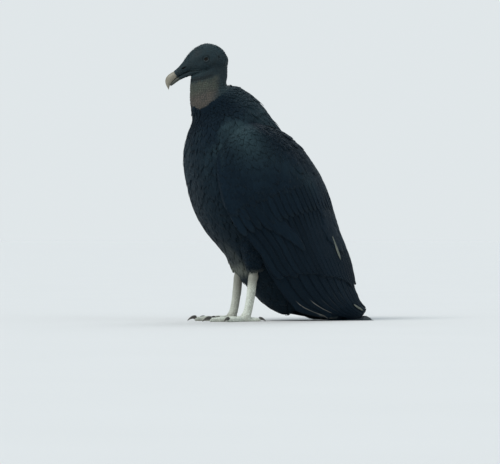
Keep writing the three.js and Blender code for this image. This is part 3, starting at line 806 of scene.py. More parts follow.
shankPlan = [
    (35, 8.6, 96, 7.4, 8.6), (34.3, 8, 84, 6.6, 8), (34, 7.4, 76, 7.4, 9), (33.8, 5.6, 67, 6.8, 8),
    (33.5, 4, 52, 6.2, 8), (33.3, 1.2, 34, 6, 7.6), (33, -2, 19, 6.8, 7.8),
    (33, -6, 10, 8.4, 9), (33, -7, 3, 8, 8.6),
]
toePlans = {
    "hallux": {"heading": 172, "root": 7, "length": 20, "radius": 4.2, "claw": 11},
    "inner": {"heading": -27, "root": 5, "length": 42, "radius": 5, "claw": 14},
    "middle": {"heading": 2, "root": 6, "length": 62, "radius": 5.4, "claw": 15},
    "outer": {"heading": 31, "root": 5, "length": 45, "radius": 4.8, "claw": 13},
}
footPlace = np.array([33.0, -7.0, 0.0])


# The way a toe points, the level way square to it, and the place of its foot.
def toeWays(side, toe):
    turn = math.radians(side * toe["heading"])
    ahead = np.array([math.sin(turn), -math.cos(turn), 0])
    return ahead, np.array([-ahead[1], ahead[0], 0]), footPlace * np.array([side, 1, 1])


# A toe: rings along its heading, swollen at three joints and rounded at the tip.
def toeLoft(side, toe):
    ahead, across, place = toeWays(side, toe)
    share = np.linspace(-0.25, 1, 30)[:, None]
    a = np.linspace(0, 2 * math.pi, 24, endpoint=False)[None, :]
    joints = 1 + 0.1 * np.cos(6 * math.pi * np.maximum(share, 0))
    end = np.sqrt(np.maximum(1 - ease(share, 0.86, 1.06) ** 2, 0.12))
    radius = toe["radius"] * joints * (1 - 0.22 * share) * end
    height = toe["radius"] * (1 - 0.22 * share) * 0.8
    distance = toe["root"] + toe["length"] * share
    up = np.maximum(height + radius * np.cos(a), 0)
    p = place + ahead * distance[..., None] + across * (radius * np.sin(a))[..., None]
    p[..., 2] = up
    return closedRings(p.reshape(-1, 3), 30, 24)


# Oval rings along a leg: half the width times the angle's sine outward, and half the depth times
# its cosine forward.
def legLoft(plan, side, rings, count=32):
    p = samplePlan(plan, np.linspace(0, 1, rings))[:, None, :]
    a = np.linspace(0, 2 * math.pi, count, endpoint=False)[None, :]
    x, y = p[..., 0] + p[..., 3] * np.sin(a), p[..., 1] - p[..., 4] * np.cos(a)
    grid = np.stack([side * x, y, p[..., 2] + 0 * a], -1)
    return closedRings(grid.reshape(-1, 3), rings, count)


# Shank and toes in one, with small rounded scales: plates across the toes and the front of the
# shank, pebbles elsewhere.
def legSkin(side):
    parts = [legLoft(shankPlan, side, 50)] + [toeLoft(side, toe) for toe in toePlans.values()]
    p, n, quads = remeshed("roughLeg", parts, **remeshSettings["leg"])
    local = p - footPlace * np.array([side, 1, 1])
    warp = softNoise(p, 5, 17)
    plates, onToe = np.zeros(len(p)), np.zeros(len(p))
    for toe in toePlans.values():
        ahead, across, _ = toeWays(side, toe)
        run, off = local @ ahead, np.abs(local @ across)
        mask = ease(run, 8, 13) * (1 - ease(off, 6, 9)) * ease(off * -1 + 0.45 * run, -2, 1)
        plates = np.where(mask > onToe, folds(run / 2.7 + 0.12 * warp), plates)
        onToe = np.maximum(mask, onToe)
    top = ease(n[:, 2], 0.1, 0.6) * onToe
    shank = ease(p[:, 2], 9, 16)
    front = shank * ease(-n[:, 1], 0.25, 0.75)
    split = folds(np.arctan2(p[:, 0] - side * 33.5, 8) * 2.2 + 0.3 * softNoise(p, 6, 23))
    bands = np.minimum(folds(p[:, 2] / 3.3 + 0.22 * warp + 0.5 * (split > 0)), folds(0.5 + split) + 0.6)
    pebble = 2 * pebbles(p, 2.3, 13) - 1
    fold = top * plates + front * bands + (1 - np.maximum(top, front)) * pebble
    lift = (0.16 * top * plates + 0.13 * front * bands + 0.15 * (1 - np.maximum(top, front)) * pebble)
    lift = lift * ease(p[:, 2], 0.2, 1.5) + 0.12 * softNoise(p, 3, 19) * ease(p[:, 2], 0.5, 2)
    p = p + n * lift[:, None]
    p[:, 2] = np.maximum(p[:, 2], 0)
    zero = np.zeros(len(p))
    # Painted shade: the top of each leg, under the thigh feathers, is painted browner and darker, and the
    # right leg a little all the way down.
    upper = ease(p[:, 2], 50, 76) if side > 0 else 0.32 + 0.68 * ease(p[:, 2], 24, 76)
    values = {"fold": fold, "throat": upper, "dark": zero, "leg": zero + 1, "lid": zero, "warm": zero}
    return p, [(quads, True)], values


# The trunk and thighs under the coat, inside the plumage by its depth.
def hiddenFlesh():
    thighs = [legLoft([(x, y, z, w - 5, d - 5) for x, y, z, w, d in thighPlan[:5]], s, 20) for s in (1, -1)]
    return [trunkLoft(0.21, 0.985, 60, 64, -1)] + thighs


# One mesh of head, lids, legs and the flesh under the feathers, with the values its material reads.
def makeSkin():
    pieces = [headSkin(), eyelids(1), eyelids(-1), legSkin(1), legSkin(-1)]
    for p, faces in hiddenFlesh():
        zero = np.zeros(len(p))
        pieces.append((p, faces, {key: zero for key in ("fold", "throat", "dark", "leg", "lid", "warm")}))
    points, faces = joined([(p, f) for p, f, _ in pieces])
    values = {key: np.concatenate([v[key] for _, _, v in pieces]) for key in pieces[0][2]}
    return buildMesh("skin", points, faces, values=values)


# Both bill horns: the upper hooks over the lower. run goes from 0 at the skin to 1 at the tip.
def hornPiece():
    parts, run, low = [], [], []
    for plan, rings in ((upperHornPlan, 60), (lowerHornPlan, 40)):
        points, faces = headLoft(plan, rings, 40)
        local = planToHead(points)
        groove = 0.16 * softNoise(local * np.array([1, 0.2, 1]), 1.6, 41)
        ring = np.repeat(np.linspace(0, 1, rings), 40)
        middles = np.repeat(points.reshape(rings, 40, 3).mean(1), 40, 0)
        points = points + groove[:, None] * unit(points - middles)
        parts.append((points, faces))
        run.append(ring)
        low.append(np.full(len(ring), 0.0 if plan is upperHornPlan else 1.0))
    points, faces = joined(parts)
    # low marks the lower horn, which the material paints dark as shade under the upper.
    values = {"run": np.concatenate(run), "low": np.concatenate(low)}
    return buildMesh("bill_horn", points, faces, values=values)


# A blunt claw: rings shrink towards the tip while their middles arc over and down.
def clawLoft(side, toe):
    ahead, across, place = toeWays(side, toe)
    t = np.linspace(0, 1, 26)[:, None]
    a = np.linspace(0, 2 * math.pi, 20, endpoint=False)[None, :]
    radius = toe["radius"] * 0.62 * (1 - t**1.3) ** 0.75 + 0.5
    height = toe["radius"] * (1.02 + 0.25 * np.sin(math.pi * t) - 0.88 * t**2)
    distance = toe["root"] + toe["length"] - 2.5 + (toe["claw"] + 1.2) * t
    deep = np.where(np.cos(a) < 0, 0.75, 1.1)
    p = place + ahead * distance[..., None] + across * (0.8 * radius * np.sin(a))[..., None]
    p[..., 2] = np.maximum(height + deep * radius * np.cos(a), 0)
    return closedRings(p.reshape(-1, 3), 26, 20), np.repeat(t, 20)


# All the claws in one mesh, with each point's run along its claw.
def clawPiece():
    made = [clawLoft(side, toe) for side in (1, -1) for toe in toePlans.values()]
    points, faces = joined([m[0] for m in made])
    return buildMesh("claws", points, faces, values={"run": np.concatenate([m[1] for m in made])})


# Two eyeballs, each a ball with its pole outwards. ring grows from 0 at the pupil's middle.
def eyePiece():
    parts, ring = [], []
    for side in (1, -1):
        polar = np.linspace(0.0, math.pi, 40)[:, None]
        a = np.linspace(0, 2 * math.pi, 48, endpoint=False)[None, :]
        radius = eyeSettings["radius"] * (1 + 0.03 * np.exp(-((polar / 0.45) ** 2)))
        out = eyeSettings["out"] + radius * np.cos(polar) + 0 * a
        reach = np.maximum(radius * np.sin(polar), 0.01)
        along, up = reach * np.cos(a) - eyeSettings["forward"], reach * np.sin(a) + eyeSettings["up"]
        p = np.stack([side * out, along, up], -1).reshape(-1, 3)
        parts.append(closedRings(headToPlan(p), 40, 48))
        ring.append(np.repeat(np.sin(np.minimum(polar, math.pi / 2)), 48))
    points, faces = joined(parts)
    return buildMesh("eyes", points, faces, values={"ring": np.concatenate(ring)})


# Random shifts, even between minus the amount and the amount.
def jitter(n, amount):
    return amount * rng.uniform(-1, 1, n)


# Roots in staggered rows across a surface, about spacing apart: a and b of each.
def staggeredRows(surface, rows, low, high, spacing, loose=0.25):
    allA, allB = [], []
    for k, share in enumerate(rows):
        ends = (low(share), high(share)) if callable(low) else (low, high)
        b = np.linspace(*ends, 200)
        line = surface(np.full(200, share), b)
        arc = np.concatenate([[0], np.cumsum(np.linalg.norm(np.diff(line, axis=0), axis=1))])
        n = max(int(arc[-1] / spacing), 2)
        where = (np.arange(n) + 0.5 * (k % 2) + jitter(n, loose)) / n * arc[-1]
        allB.append(np.interp(where, arc, b))
        allA.append(np.full(n, share))
    a, b = np.concatenate(allA), np.concatenate(allB)
    return a + jitter(len(a), loose * 0.5 * abs(rows[1] - rows[0]) if len(rows) > 1 else 0), b


# Shares between low and high, spacing apart along the line of constant b.
def evenShares(surface, low, high, b, spacing):
    a = np.linspace(low, high, 400)
    line = surface(a, np.full(400, b))
    arc = np.concatenate([[0], np.cumsum(np.linalg.norm(np.diff(line, axis=0), axis=1))])
    return np.interp(np.arange(0, arc[-1], spacing), arc, a)


# The trunk's middle line nearest each point in height, to tell outside from inside.
def centreLine(points):
    share = np.linspace(0, 1, 80)
    front, back = trunkSurface(share, 0 * share), trunkSurface(share, 0 * share + math.pi)
    middle = (front + back) / 2
    flat = points.reshape(-1, 3)
    nearest = np.argmin(((flat[:, None, :] - middle[None]) ** 2).sum(-1), 1)
    return middle[nearest].reshape(points.shape)


# A point deep in the bird at each point's own height and length.
def insideOfBody(points):
    deep = points.copy()
    deep[..., 0] = 0
    deep[..., 1] -= 25
    deep[..., 2] -= 10
    return deep


# True where a folded wing covers a point of the trunk.
def underWing(points, normals):
    share, across = np.meshgrid(np.linspace(0.03, 0.95, 70), np.linspace(0.06, 0.94, 30), indexing="ij")
    hidden = np.zeros(len(points), bool)
    for side in (1, -1):
        cover = wingSurface(side)(share, across).reshape(-1, 3)
        to = cover[None] - points[:, None]
        out = (to * normals[:, None]).sum(-1)
        off = np.linalg.norm(to - out[..., None] * normals[:, None], axis=-1)
        hidden |= ((off < 7) & (out > 7)).any(1)
    return hidden


# Contour feathers on the neck and trunk between two shares and two angles.
def trunkTract(name, low, high, angles, spacing, length, **more):
    rows = evenShares(trunkSurface, low, high, sum(angles) / 2, spacing)
    a, b = staggeredRows(trunkSurface, rows, angles[0], angles[1], spacing * 1.05)
    point, _, _, normal = surfaceFrame(trunkSurface, a, b, centreLine)
    keep = ~underWing(point, normal) & (a > 0.1615 + 0.0185 * np.cos(b) - 0.04 * bump(b, 0, 0.5))
    a, b = a[keep], b[keep]
    n = len(a)
    size = length(a, b) * (1 + jitter(n, 0.1))
    # Each trunk feather is painted paler by the mantle's painted highlight.
    settings = {
        "a": a, "b": b, "heading": jitter(n, 0.2), "length": size, "width": size * 0.52,
        "lift": 2.4 + jitter(n, 0.4), "offset": -3.4 + jitter(n, 0.3), "bow": 0.9, "camber": 0.5,
        "shape": (0.5, 0.42, 1.7), "slip": 0.06, "ragged": 0.12, "stray": 0.04, "bloom": paintedMantleHighlight(a, b),
    }
    settings.update({key: value(a, b) if callable(value) else value for key, value in more.items()})
    return layFeathers(name, trunkSurface, centreLine, settings)


# Painted highlight: how much paler and colder a feather is painted on the mantle, more along its lower edge,
# and a little on the breast.
def paintedMantleHighlight(a, b):
    side = np.where(b > math.pi, 2 * math.pi - b, np.abs(b))
    edge = bump(side, 2.0 + 4.6 * (a - 0.3), 0.22) * ease(a, 0.25, 0.3) * (1 - ease(a, 0.42, 0.48))
    breast = 0.1 * ease(np.cos(b), -0.2, 0.4) * ease(a, 0.25, 0.35)
    return 0.32 * ease(-np.cos(b), 0.0, 0.7) * (1 - ease(a, 0.3, 0.42)) + 0.4 * edge + breast


# Ruff, breast and back: feathers grow from about 10 mm on the neck to 32 mm on the belly.
def bodyCoat():
    grown = lambda a, b: 12 + 16 * ease(a, 0.17, 0.34) + 4 * ease(a, 0.4, 0.7)
    ruff = trunkTract(
        "ruff_feathers", 0.142, 0.245, (-math.pi, math.pi), 3.6, lambda a, b: 10 + 70 * (a - 0.15),
        offset=lambda a, b: -2.0 - 1.4 * ease(a, 0.17, 0.23), lift=2.4, camber=0.4, bow=0.7,
    )
    # The lower breast and the belly are painted darker, as painted shade on the underside.
    breast = trunkTract(
        "breast_feathers", 0.2, 0.62, (-1.9, 1.9), 6.6, grown,
        mottle=lambda a, b: 0.34 * (1 - ease(a, 0.36, 0.5)), shade=lambda a, b: -0.4 * ease(a, 0.4, 0.58),
    )
    belly = trunkTract("belly_feathers", 0.6, 0.93, (-2.3, 2.3), 7.2, grown, soil=0.7, shade=-0.45)
    hollow = lambda a, b: -3.4 + 4.5 * ease(a, 0.33, 0.52) * ease(-np.cos(b), 0.75, 1)
    back = trunkTract("back_feathers", 0.2, 0.62, (1.7, 2 * math.pi - 1.7), 6.8, grown, offset=hollow)
    rump = trunkTract("rump_feathers", 0.6, 0.95, (2.1, 2 * math.pi - 2.1), 8.0, grown, offset=hollow)
    return [ruff, breast, belly, back, rump]


# Short feathers down each thigh, closing to a cuff over the bare leg.
def thighCoat():
    pieces = []
    for side, word in ((1, "left"), (-1, "right")):
        surface = thighSurface(side)
        rows = evenShares(surface, 0.02, 0.62, math.pi / 2, 5.2)
        a, b = staggeredRows(surface, rows, -math.pi, math.pi, 6.2)
        n = len(a)
        size = (21 - 9 * ease(a, 0.35, 0.6)) * (1 + jitter(n, 0.12))
        axis = lambda p, s=side: np.stack([0 * p[..., 0] + s * 38, 0 * p[..., 0] + 13, p[..., 2]], -1)
        pieces.append(layFeathers(f"thigh_feathers_{word}", surface, axis, {
            "a": a, "b": b, "heading": jitter(n, 0.18), "length": size, "width": size * 0.5,
            "lift": 3.0 - 1.2 * ease(a, 0.45, 0.62), "offset": -3.4 + 1.2 * ease(a, 0.45, 0.62),
            "bow": 0.3, "camber": 0.6, "stray": 0.04,
            "chalk": 0.3 * ease(a, 0.52, 0.62) * (1 + jitter(n, 0.4)), "soil": 0.9,
        }))
    return pieces


flightShape = (0.45, 0.88, 2.3)
flightColumns = np.array([-1, -0.7, -0.38, -0.07, 0, 0.07, 0.38, 0.7, 1])


# Long feathers from a row of roots to a row of ends; the first lies lowest.
def flightTract(name, surface, outOf, roots, ends, width, offset, **more):
    roots, ends = np.asarray(roots, float), np.asarray(ends, float)
    settings = {
        "rows": "long", "columns": flightColumns, "a": roots[:, 0], "b": roots[:, 1], "heading": 0,
        "length": 1, "endA": ends[:, 0], "endB": ends[:, 1], "endPower": 1.2, "width": width,
        "lift": 1.0, "offset": offset, "bow": 0.6, "camber": 1.1, "shape": flightShape,
        "rachis": 0.55, "ownCells": True, "ragged": 0.02, "slip": 0.004,
    }
    settings.update(more)
    return layFeathers(name, surface, outOf, settings)


# The wing's long rows, lowest first: primaries, secondaries, greater and primary coverts.
def longRows(surface, side, word):
    pieces = []
    k = np.arange(10)
    reach = np.array([0.93, 0.975, 1.0, 0.995, 0.988, 0.982, 0.977, 0.97, 0.962, 0.955])
    ends = np.stack([reach, 0.07 + 0.96 * (k / 9) ** 0.9], -1)
    roots = np.stack([0.44 + 0.012 * k, 0.1 + 0.085 * k], -1)
    pieces.append(flightTract(
        f"primaries_{word}", surface, insideOfBody, roots, ends, 31 + 0 * k, -5.0 + 0.3 * k,
        lean=-0.35 * side, pale=np.where(k < 2, 1.0, 0.3), palePart=(0.56, 0.99), bow=0.0,
        tilt=-1.2 * side, camber=1.3, tipChalk=0.1 + jitter(10, 0.1),
    ))
    k = np.arange(19)
    roots = np.stack([0.33 + 0.02 * np.sin(k / 18 * math.pi), 0.04 + 0.94 * k / 18], -1)
    reach = 0.62 + 0.22 * (k / 18) ** 1.1 - 0.04 * (k > 16) + jitter(19, 0.008)
    ends = np.stack([reach, 0.1 + 0.93 * (k / 18) ** 0.98], -1)
    pieces.append(flightTract(
        f"secondaries_{word}", surface, insideOfBody, roots, ends, 22 + 0.3 * k, -2.8 + 0.12 * k,
        lean=-0.2 * side, lift=1.6, tilt=-1.3 * side, camber=1.3,
        pale=0.1,
    ))
    k = np.arange(20)
    roots = np.stack([0.275 + 0 * k, 0.02 + 0.96 * k / 19], -1)
    ends = np.stack([0.43 + 0.035 * (k / 19), 0.03 + 0.94 * k / 19], -1)
    pieces.append(flightTract(
        f"greater_coverts_{word}", surface, insideOfBody, roots, ends, 17 + 0 * k, -1.6 + 0.06 * k,
        shape=(0.5, 0.72, 2.2), lift=2.4, camber=1.2, ownCells=False, rachis=0.3, tilt=-1.1 * side,
    ))
    k = np.arange(8)
    roots = np.stack([0.21 + 0.028 * k, 0.04 + 0.03 * k], -1)
    ends = np.stack([0.36 + 0.03 * k, 0.05 + 0.045 * k], -1)
    pieces.append(flightTract(
        f"primary_coverts_{word}", surface, insideOfBody, roots, ends, 14 + 0 * k, -1.1 + 0.14 * k,
        shape=(0.5, 0.75, 2.2), lift=1.8, ownCells=False, rachis=0.3, tilt=-1.0 * side,
    ))
    return pieces


# Short rounded feathers over the wing's bend, down to the greater coverts.
def lesserCoverts(surface, word):
    rows = evenShares(surface, -0.02, 0.285, 0.45, 6.2)
    a, b = staggeredRows(surface, rows, -0.02, 1.02, 6.8)
    n = len(a)
    size = (18 + 16 * ease(a, 0.12, 0.28)) * (1 + jitter(n, 0.09))
    return layFeathers(f"lesser_coverts_{word}", surface, insideOfBody, {
        "a": a, "b": b, "heading": jitter(n, 0.16), "length": size, "width": size * 0.54,
        "lift": 2.2 + jitter(n, 0.25), "offset": -1.8 + 1.2 * ease(a, 0.14, 0.27) + jitter(n, 0.2),
        "bow": 0.8, "camber": 0.5, "stray": 0.02,
        # Painted shadow: the coverts under the back's edge are painted darker.
        "shade": -0.6 * bump(b, 0.85, 0.22) * (1 - ease(a, 0.2, 0.3)),
        "shape": (0.5, 0.5, 1.9), "slip": 0.05,
    })


# The narrow white feathers that show on the left wing: root shares and lengths.
strayStreak = {"a": [0.57, 0.90], "b": [0.75, 0.62], "length": [46, 24], "width": [6.2, 4.4]}


# The scapulars, which close the wing on to the back, and the narrow white ones among them.
def scapularCoat(surface, side, word):
    rows = evenShares(surface, 0.03, 0.52, 0.95, 10)
    low, high = lambda share: 0.82 - 0.12 * ease(share, 0.12, 0.3), lambda share: 1.03
    a, b = staggeredRows(surface, rows, low, high, 10.5)
    streak = strayStreak if side > 0 else {key: [] for key in strayStreak}
    a, b = np.append(a, streak["a"]), np.append(b, streak["b"])
    n = len(a)
    white = np.arange(n) >= n - len(streak["a"])
    size = (26 + 34 * ease(a, 0.08, 0.32)) * (1 + jitter(n, 0.09))
    size[white] = streak["length"]
    wide = 4 + size * 0.38
    wide[white] = streak["width"]
    return layFeathers(f"scapulars_{word}", surface, insideOfBody, {
        "a": a, "b": b, "heading": side * 0.1 + jitter(n, 0.1), "length": size,
        "width": wide, "chalk": 1.2 * white,
        "lift": np.where(white, 0.5, 2.4 + jitter(n, 0.4)), "bow": 1.0, "camber": 0.7,
        "offset": np.where(white, 2.2, -0.4 + jitter(n, 0.3)),
        # The scapulars by the back are painted paler as highlight, and those near the wing's bend darker as
        # painted shadow.
        "bloom": 0.15 * ease(b, 0.9, 1.0), "shade": -0.35 * bump(a, 0.1, 0.08), "stray": 0.04,
        "tipChalk": 0.5 * bump(a, 0.22, 0.05) * ease(b, 0.8, 0.95),
    })


# One folded wing, lowest layer first, with its lining last.
def wingCoat(side, word):
    surface = wingSurface(side)
    return longRows(surface, side, word) + [
        lesserCoverts(surface, word), scapularCoat(surface, side, word), wingLining(surface, word),
    ]


# The wing's flesh under its feathers: a thin closed sheet, its outer face 5.5 mm below theirs.
def wingLining(surface, word):
    share, across = np.meshgrid(np.linspace(0.0, 0.9, 60), np.linspace(0, 1, 24), indexing="ij")
    trimmed = 0.2 * (1 - ease(share, 0.02, 0.26))
    across = 0.03 + trimmed + across * (0.94 - trimmed)
    point, _, _, normal = surfaceFrame(surface, share, across, insideOfBody)
    thick = (1.6 + 3.4 * (1 - share))[..., None]
    outer, inner = point - normal * 5.5, point - normal * (5.5 + thick)
    nS, nA = share.shape
    grid = np.arange(nS * nA).reshape(nS, nA)
    sheet = np.stack([grid[:-1, :-1], grid[1:, :-1], grid[1:, 1:], grid[:-1, 1:]], -1).reshape(-1, 4)
    rim = np.concatenate([grid[0, :-1], grid[:-1, -1], grid[-1, :0:-1], grid[:0:-1, 0]])
    after = np.roll(rim, -1)
    wall = np.stack([rim, after, after + nS * nA, rim + nS * nA], -1)
    sets = [(sheet, True), (sheet[:, ::-1] + nS * nA, True), (wall, False)]
    points = np.concatenate([outer.reshape(-1, 3), inner.reshape(-1, 3)])
    points[:, 2] = np.maximum(points[:, 2], 3)
    uvMaps = {
        "vane": np.tile(np.stack([across.ravel(), share.ravel() * 0.8], -1), (2, 1)),
        "OFBake": np.tile(np.stack([across.ravel(), share.ravel()], -1), (2, 1)),
    }
    plain = {"tone": 0.3, "pale": 0, "bloom": 0, "chalk": 0}
    values = {key: np.full(len(points), value) for key, value in plain.items()}
    return buildMesh(f"wing_lining_{word}", points, outwards(points, sets), uvMaps, values)


# Twelve tail feathers, the middle pair on top, and the coverts over their roots.
def tailCoat():
    k = np.arange(12)
    across = (k - 5.5) / 5.5
    order = np.argsort(-np.abs(across))
    roots = np.stack([0.02 + 0 * k, 0.75 * across], -1)[order]
    ends = np.stack([0.99 - 0.035 * np.abs(across) ** 2 + jitter(12, 0.006), 0.86 * across], -1)[order]
    below = lambda p: p - np.array([0, 40, 60])
    tail = flightTract(
        "tail_feathers", tailSurface, below, roots, ends, np.full(12, 24.0), -3.6 + 0.3 * k,
        tilt=1.0 * np.sign(across[order]), palePart=(0.7, 1.1), endPower=1.0, shape=(0.5, 0.93, 3.0),
        camber=1.2, pale=np.full(12, 0.55), lift=0.8, tipChalk=0.22 + jitter(12, 0.2), slip=0.008,
    )
    rows = evenShares(tailSurface, -0.02, 0.42, 0.0, 10)
    a, b = staggeredRows(tailSurface, rows, -1.0, 1.0, 9)
    n = len(a)
    size = 34 * (1 + jitter(n, 0.1))
    coverts = layFeathers("tail_coverts", tailSurface, below, {
        "a": a, "b": b, "heading": jitter(n, 0.1), "length": size, "width": size * 0.5,
        "lift": 2.6, "offset": 0.2 + jitter(n, 0.3), "bow": 0.5, "camber": 1.2,
    })
    return [tail, coverts]


# The skull's smooth form, for the bristles that stand on it.
def crownSurface(share, angle):
    p = samplePlan(skullPlan, share)
    z = p[..., 2] + (p[..., 1] - p[..., 2]) * (0.5 + np.cos(angle) / 2)
    return headToPlan(np.stack([p[..., 3] * np.sin(angle), -p[..., 0] + 0 * angle, z], -1))


# A thin scatter of short black bristles on the crown, cheeks and lores.
def bristleCoat():
    n = 900
    a, b = rng.uniform(0.06, 0.72, n), rng.normal(0, 1.0, n)
    spot = planToHead(crownSurface(a, b))
    away = np.hypot(spot[:, 1], spot[:, 2])
    keep = (away > 8) & (np.abs(b) < 2.2) & (rng.uniform(0, 1, n) < 1.1 - a)
    a, b = a[keep], b[keep]
    n = len(a)
    middle = lambda p: np.broadcast_to(headToPlan(np.array([0.0, 0.0, 0.0])), p.shape)
    return layFeathers("bristles", crownSurface, middle, {
        "rows": "tiny", "columns": np.array([-1, 0, 1]), "a": a, "b": b,
        "heading": math.pi + jitter(n, 0.5), "length": rng.uniform(1.8, 3.8, n), "width": 0.3,
        "lift": rng.uniform(0.6, 1.6, n), "offset": -0.3, "bow": 0, "camber": 0.16, "slip": 0,
    })


# Sockets among the values are linked, and the rest are set.
def fill(tree, made, values):
    for key, value in values.items():
        if isinstance(value, bpy.types.NodeSocket):
            tree.links.new(value, made.inputs[key])
        else:
            made.inputs[key].default_value = value


# A shader node with its settings and inputs.
def node(tree, kind, inputs=None, **settings):
    made = tree.nodes.new("ShaderNode" + kind)
    for key, value in settings.items():
        setattr(made, key, value)
    fill(tree, made, inputs or {})
    return made


# A Math node on two values.
def maths(tree, operation, a, b=0.0, clamp=False):
    return node(tree, "Math", {0: a, 1: b}, operation=operation, use_clamp=clamp).outputs[0]


def add(tree, a, b, clamp=False):  # a plus b
    return maths(tree, "ADD", a, b, clamp)


def subtract(tree, a, b, clamp=False):  # a less b
    return maths(tree, "SUBTRACT", a, b, clamp)


def multiply(tree, a, b, clamp=False):  # a times b
    return maths(tree, "MULTIPLY", a, b, clamp)


def divide(tree, a, b, clamp=False):  # a over b
    return maths(tree, "DIVIDE", a, b, clamp)


# Object coordinates in millimetres.
def millimetres(tree):
    place = node(tree, "TexCoord").outputs["Object"]
    return node(tree, "VectorMath", {0: place, "Scale": 1000.0}, operation="SCALE").outputs[0]


# The normal, tilted by the slope of a height.
def bumpNormal(tree, height, strength, distance):
    return node(tree, "Bump", {"Height": height, "Strength": strength, "Distance": distance}).outputs[0]


# Mix goes from colour a at factor 0 to colour b at 1. Other kinds do what Blender calls them.
def blendColour(tree, factor, a, b, kind="MIX"):
    made = node(tree, "Mix", {"Factor": factor, 6: a, 7: b}, data_type="RGBA", blend_type=kind)
    return made.outputs[2]


# A value that the mesh holds for each point.
def attribute(tree, name):
    return node(tree, "Attribute", attribute_name=name).outputs["Fac"]


# A shader node group with named sockets: inputs are (name, kind, value).
def makeGroup(name, inputs, outputs):
    tree = bpy.data.node_groups.new(name, "ShaderNodeTree")
    for label, kind, value in inputs:
        socket = tree.interface.new_socket(name=label, in_out="INPUT", socket_type="NodeSocket" + kind)
        if value is not None:
            socket.default_value = value
    for label, kind in outputs:
        tree.interface.new_socket(name=label, in_out="OUTPUT", socket_type="NodeSocket" + kind)
    return tree, tree.nodes.new("NodeGroupInput"), tree.nodes.new("NodeGroupOutput")


# Barbs, shaft, worn fringe and streaks of a feather, from its own UV map: u across the vane and v
# from root to tip. Barbs are a sine of v less a share of the distance from the shaft, so they slant
# towards the tip.
def makeVaneGroup():
    tree, given, result = makeGroup("vane", [
        ("Length", "Float", 25.0), ("Shaft", "Float", 0.03), ("Fringe", "Float", 0.1),
        ("Tone", "Float", 0.5), ("Slant", "Float", 0.33),
    ], [("Shaft", "Float"), ("Fringe", "Float"), ("Barbs", "Float"), ("Streaks", "Float")])
    uv = node(tree, "UVMap", uv_map="vane").outputs[0]
    split = node(tree, "SeparateXYZ", {0: uv})
    u, v = split.outputs[0], split.outputs[1]
    off = multiply(tree, maths(tree, "ABSOLUTE", subtract(tree, u, 0.5)), 2.0)
    shaft = subtract(tree, 1.0, divide(tree, off, given.outputs["Shaft"]), clamp=True)
    fade = subtract(tree, 1.15, v, clamp=True)
    shaft = multiply(tree, shaft, fade)
    shift = multiply(tree, given.outputs["Tone"], 37.0)
    slant = subtract(tree, v, multiply(tree, off, given.outputs["Slant"]))
    along = multiply(tree, slant, given.outputs["Length"])
    spot = node(tree, "CombineXYZ", {0: multiply(tree, off, 0.8), 1: along, 2: shift}).outputs[0]
    clumps = node(tree, "TexNoise", {"Vector": spot, "Scale": 0.8, "Detail": 3.0, "Roughness": 0.6})
    fine = add(tree, multiply(tree, along, 2.4), multiply(tree, clumps.outputs[0], 1.6))
    wave = maths(tree, "SINE", multiply(tree, fine, 2 * math.pi))
    barbs = add(tree, multiply(tree, wave, 0.3), clumps.outputs[0])
    edge = maths(tree, "MAXIMUM", multiply(tree, v, 1.0), multiply(tree, off, 0.97))
    ragged = add(tree, edge, multiply(tree, subtract(tree, clumps.outputs[0], 0.5), 0.14))
    start = subtract(tree, 1.0, given.outputs["Fringe"])
    fringe = divide(tree, subtract(tree, ragged, start), given.outputs["Fringe"], clamp=True)
    fill(tree, result, {"Shaft": shaft, "Fringe": fringe, "Barbs": barbs, "Streaks": clumps.outputs[0]})
    return tree


# Fine creases of bare skin: cells in cells, from Object coordinates in millimetres.
def makeWrinkleGroup():
    tree, given, result = makeGroup("fineCreases", [
        ("Size", "Float", 1.0), ("Stretch", "Float", 1.0),
    ], [("Height", "Float"), ("Mottle", "Float")])
    scaled = millimetres(tree)
    bent = node(tree, "TexNoise", {"Vector": scaled, "Scale": 0.35, "Detail": 2.0})
    moved = node(tree, "VectorMath", {0: scaled, 1: bent.outputs["Color"]}, operation="ADD").outputs[0]
    frequency = divide(tree, 1.0, given.outputs["Size"])
    cells = node(tree, "TexVoronoi", {"Vector": moved, "Scale": frequency}, feature="DISTANCE_TO_EDGE")
    creases = multiply(tree, cells.outputs["Distance"], 3.0, clamp=True)
    grain = node(tree, "TexNoise", {"Vector": scaled, "Scale": 2.4, "Detail": 3.0})
    mottle = node(tree, "TexNoise", {"Vector": scaled, "Scale": 0.09, "Detail": 4.0, "Roughness": 0.6})
    height = add(tree, creases, multiply(tree, grain.outputs[0], given.outputs["Stretch"]))
    tree.links.new(height, result.inputs["Height"])
    tree.links.new(mottle.outputs[0], result.inputs["Mottle"])
    return tree


# A group placed in a material with its own values.
def placeGroup(tree, group, values):
    return node(tree, "Group", values, node_tree=group).outputs


# A material with one Principled shader.
def makeMaterial(name):
    material = bpy.data.materials.new(name)
    material.use_nodes = True
    tree = material.node_tree
    tree.nodes.clear()
    shader = tree.nodes.new("ShaderNodeBsdfPrincipled")
    output = tree.nodes.new("ShaderNodeOutputMaterial")
    tree.links.new(shader.outputs[0], output.inputs["Surface"])
    return material, tree, shader


vaneGroup = makeVaneGroup()
creaseGroup = makeWrinkleGroup()

featherFinishes = {
    "coat": {"length": 9.0, "slant": 0.33, "shaft": 0.07, "fringe": 0.15},
    "flight": {"length": 90.0, "slant": 0.1, "shaft": 0.06, "fringe": 0.04},
}
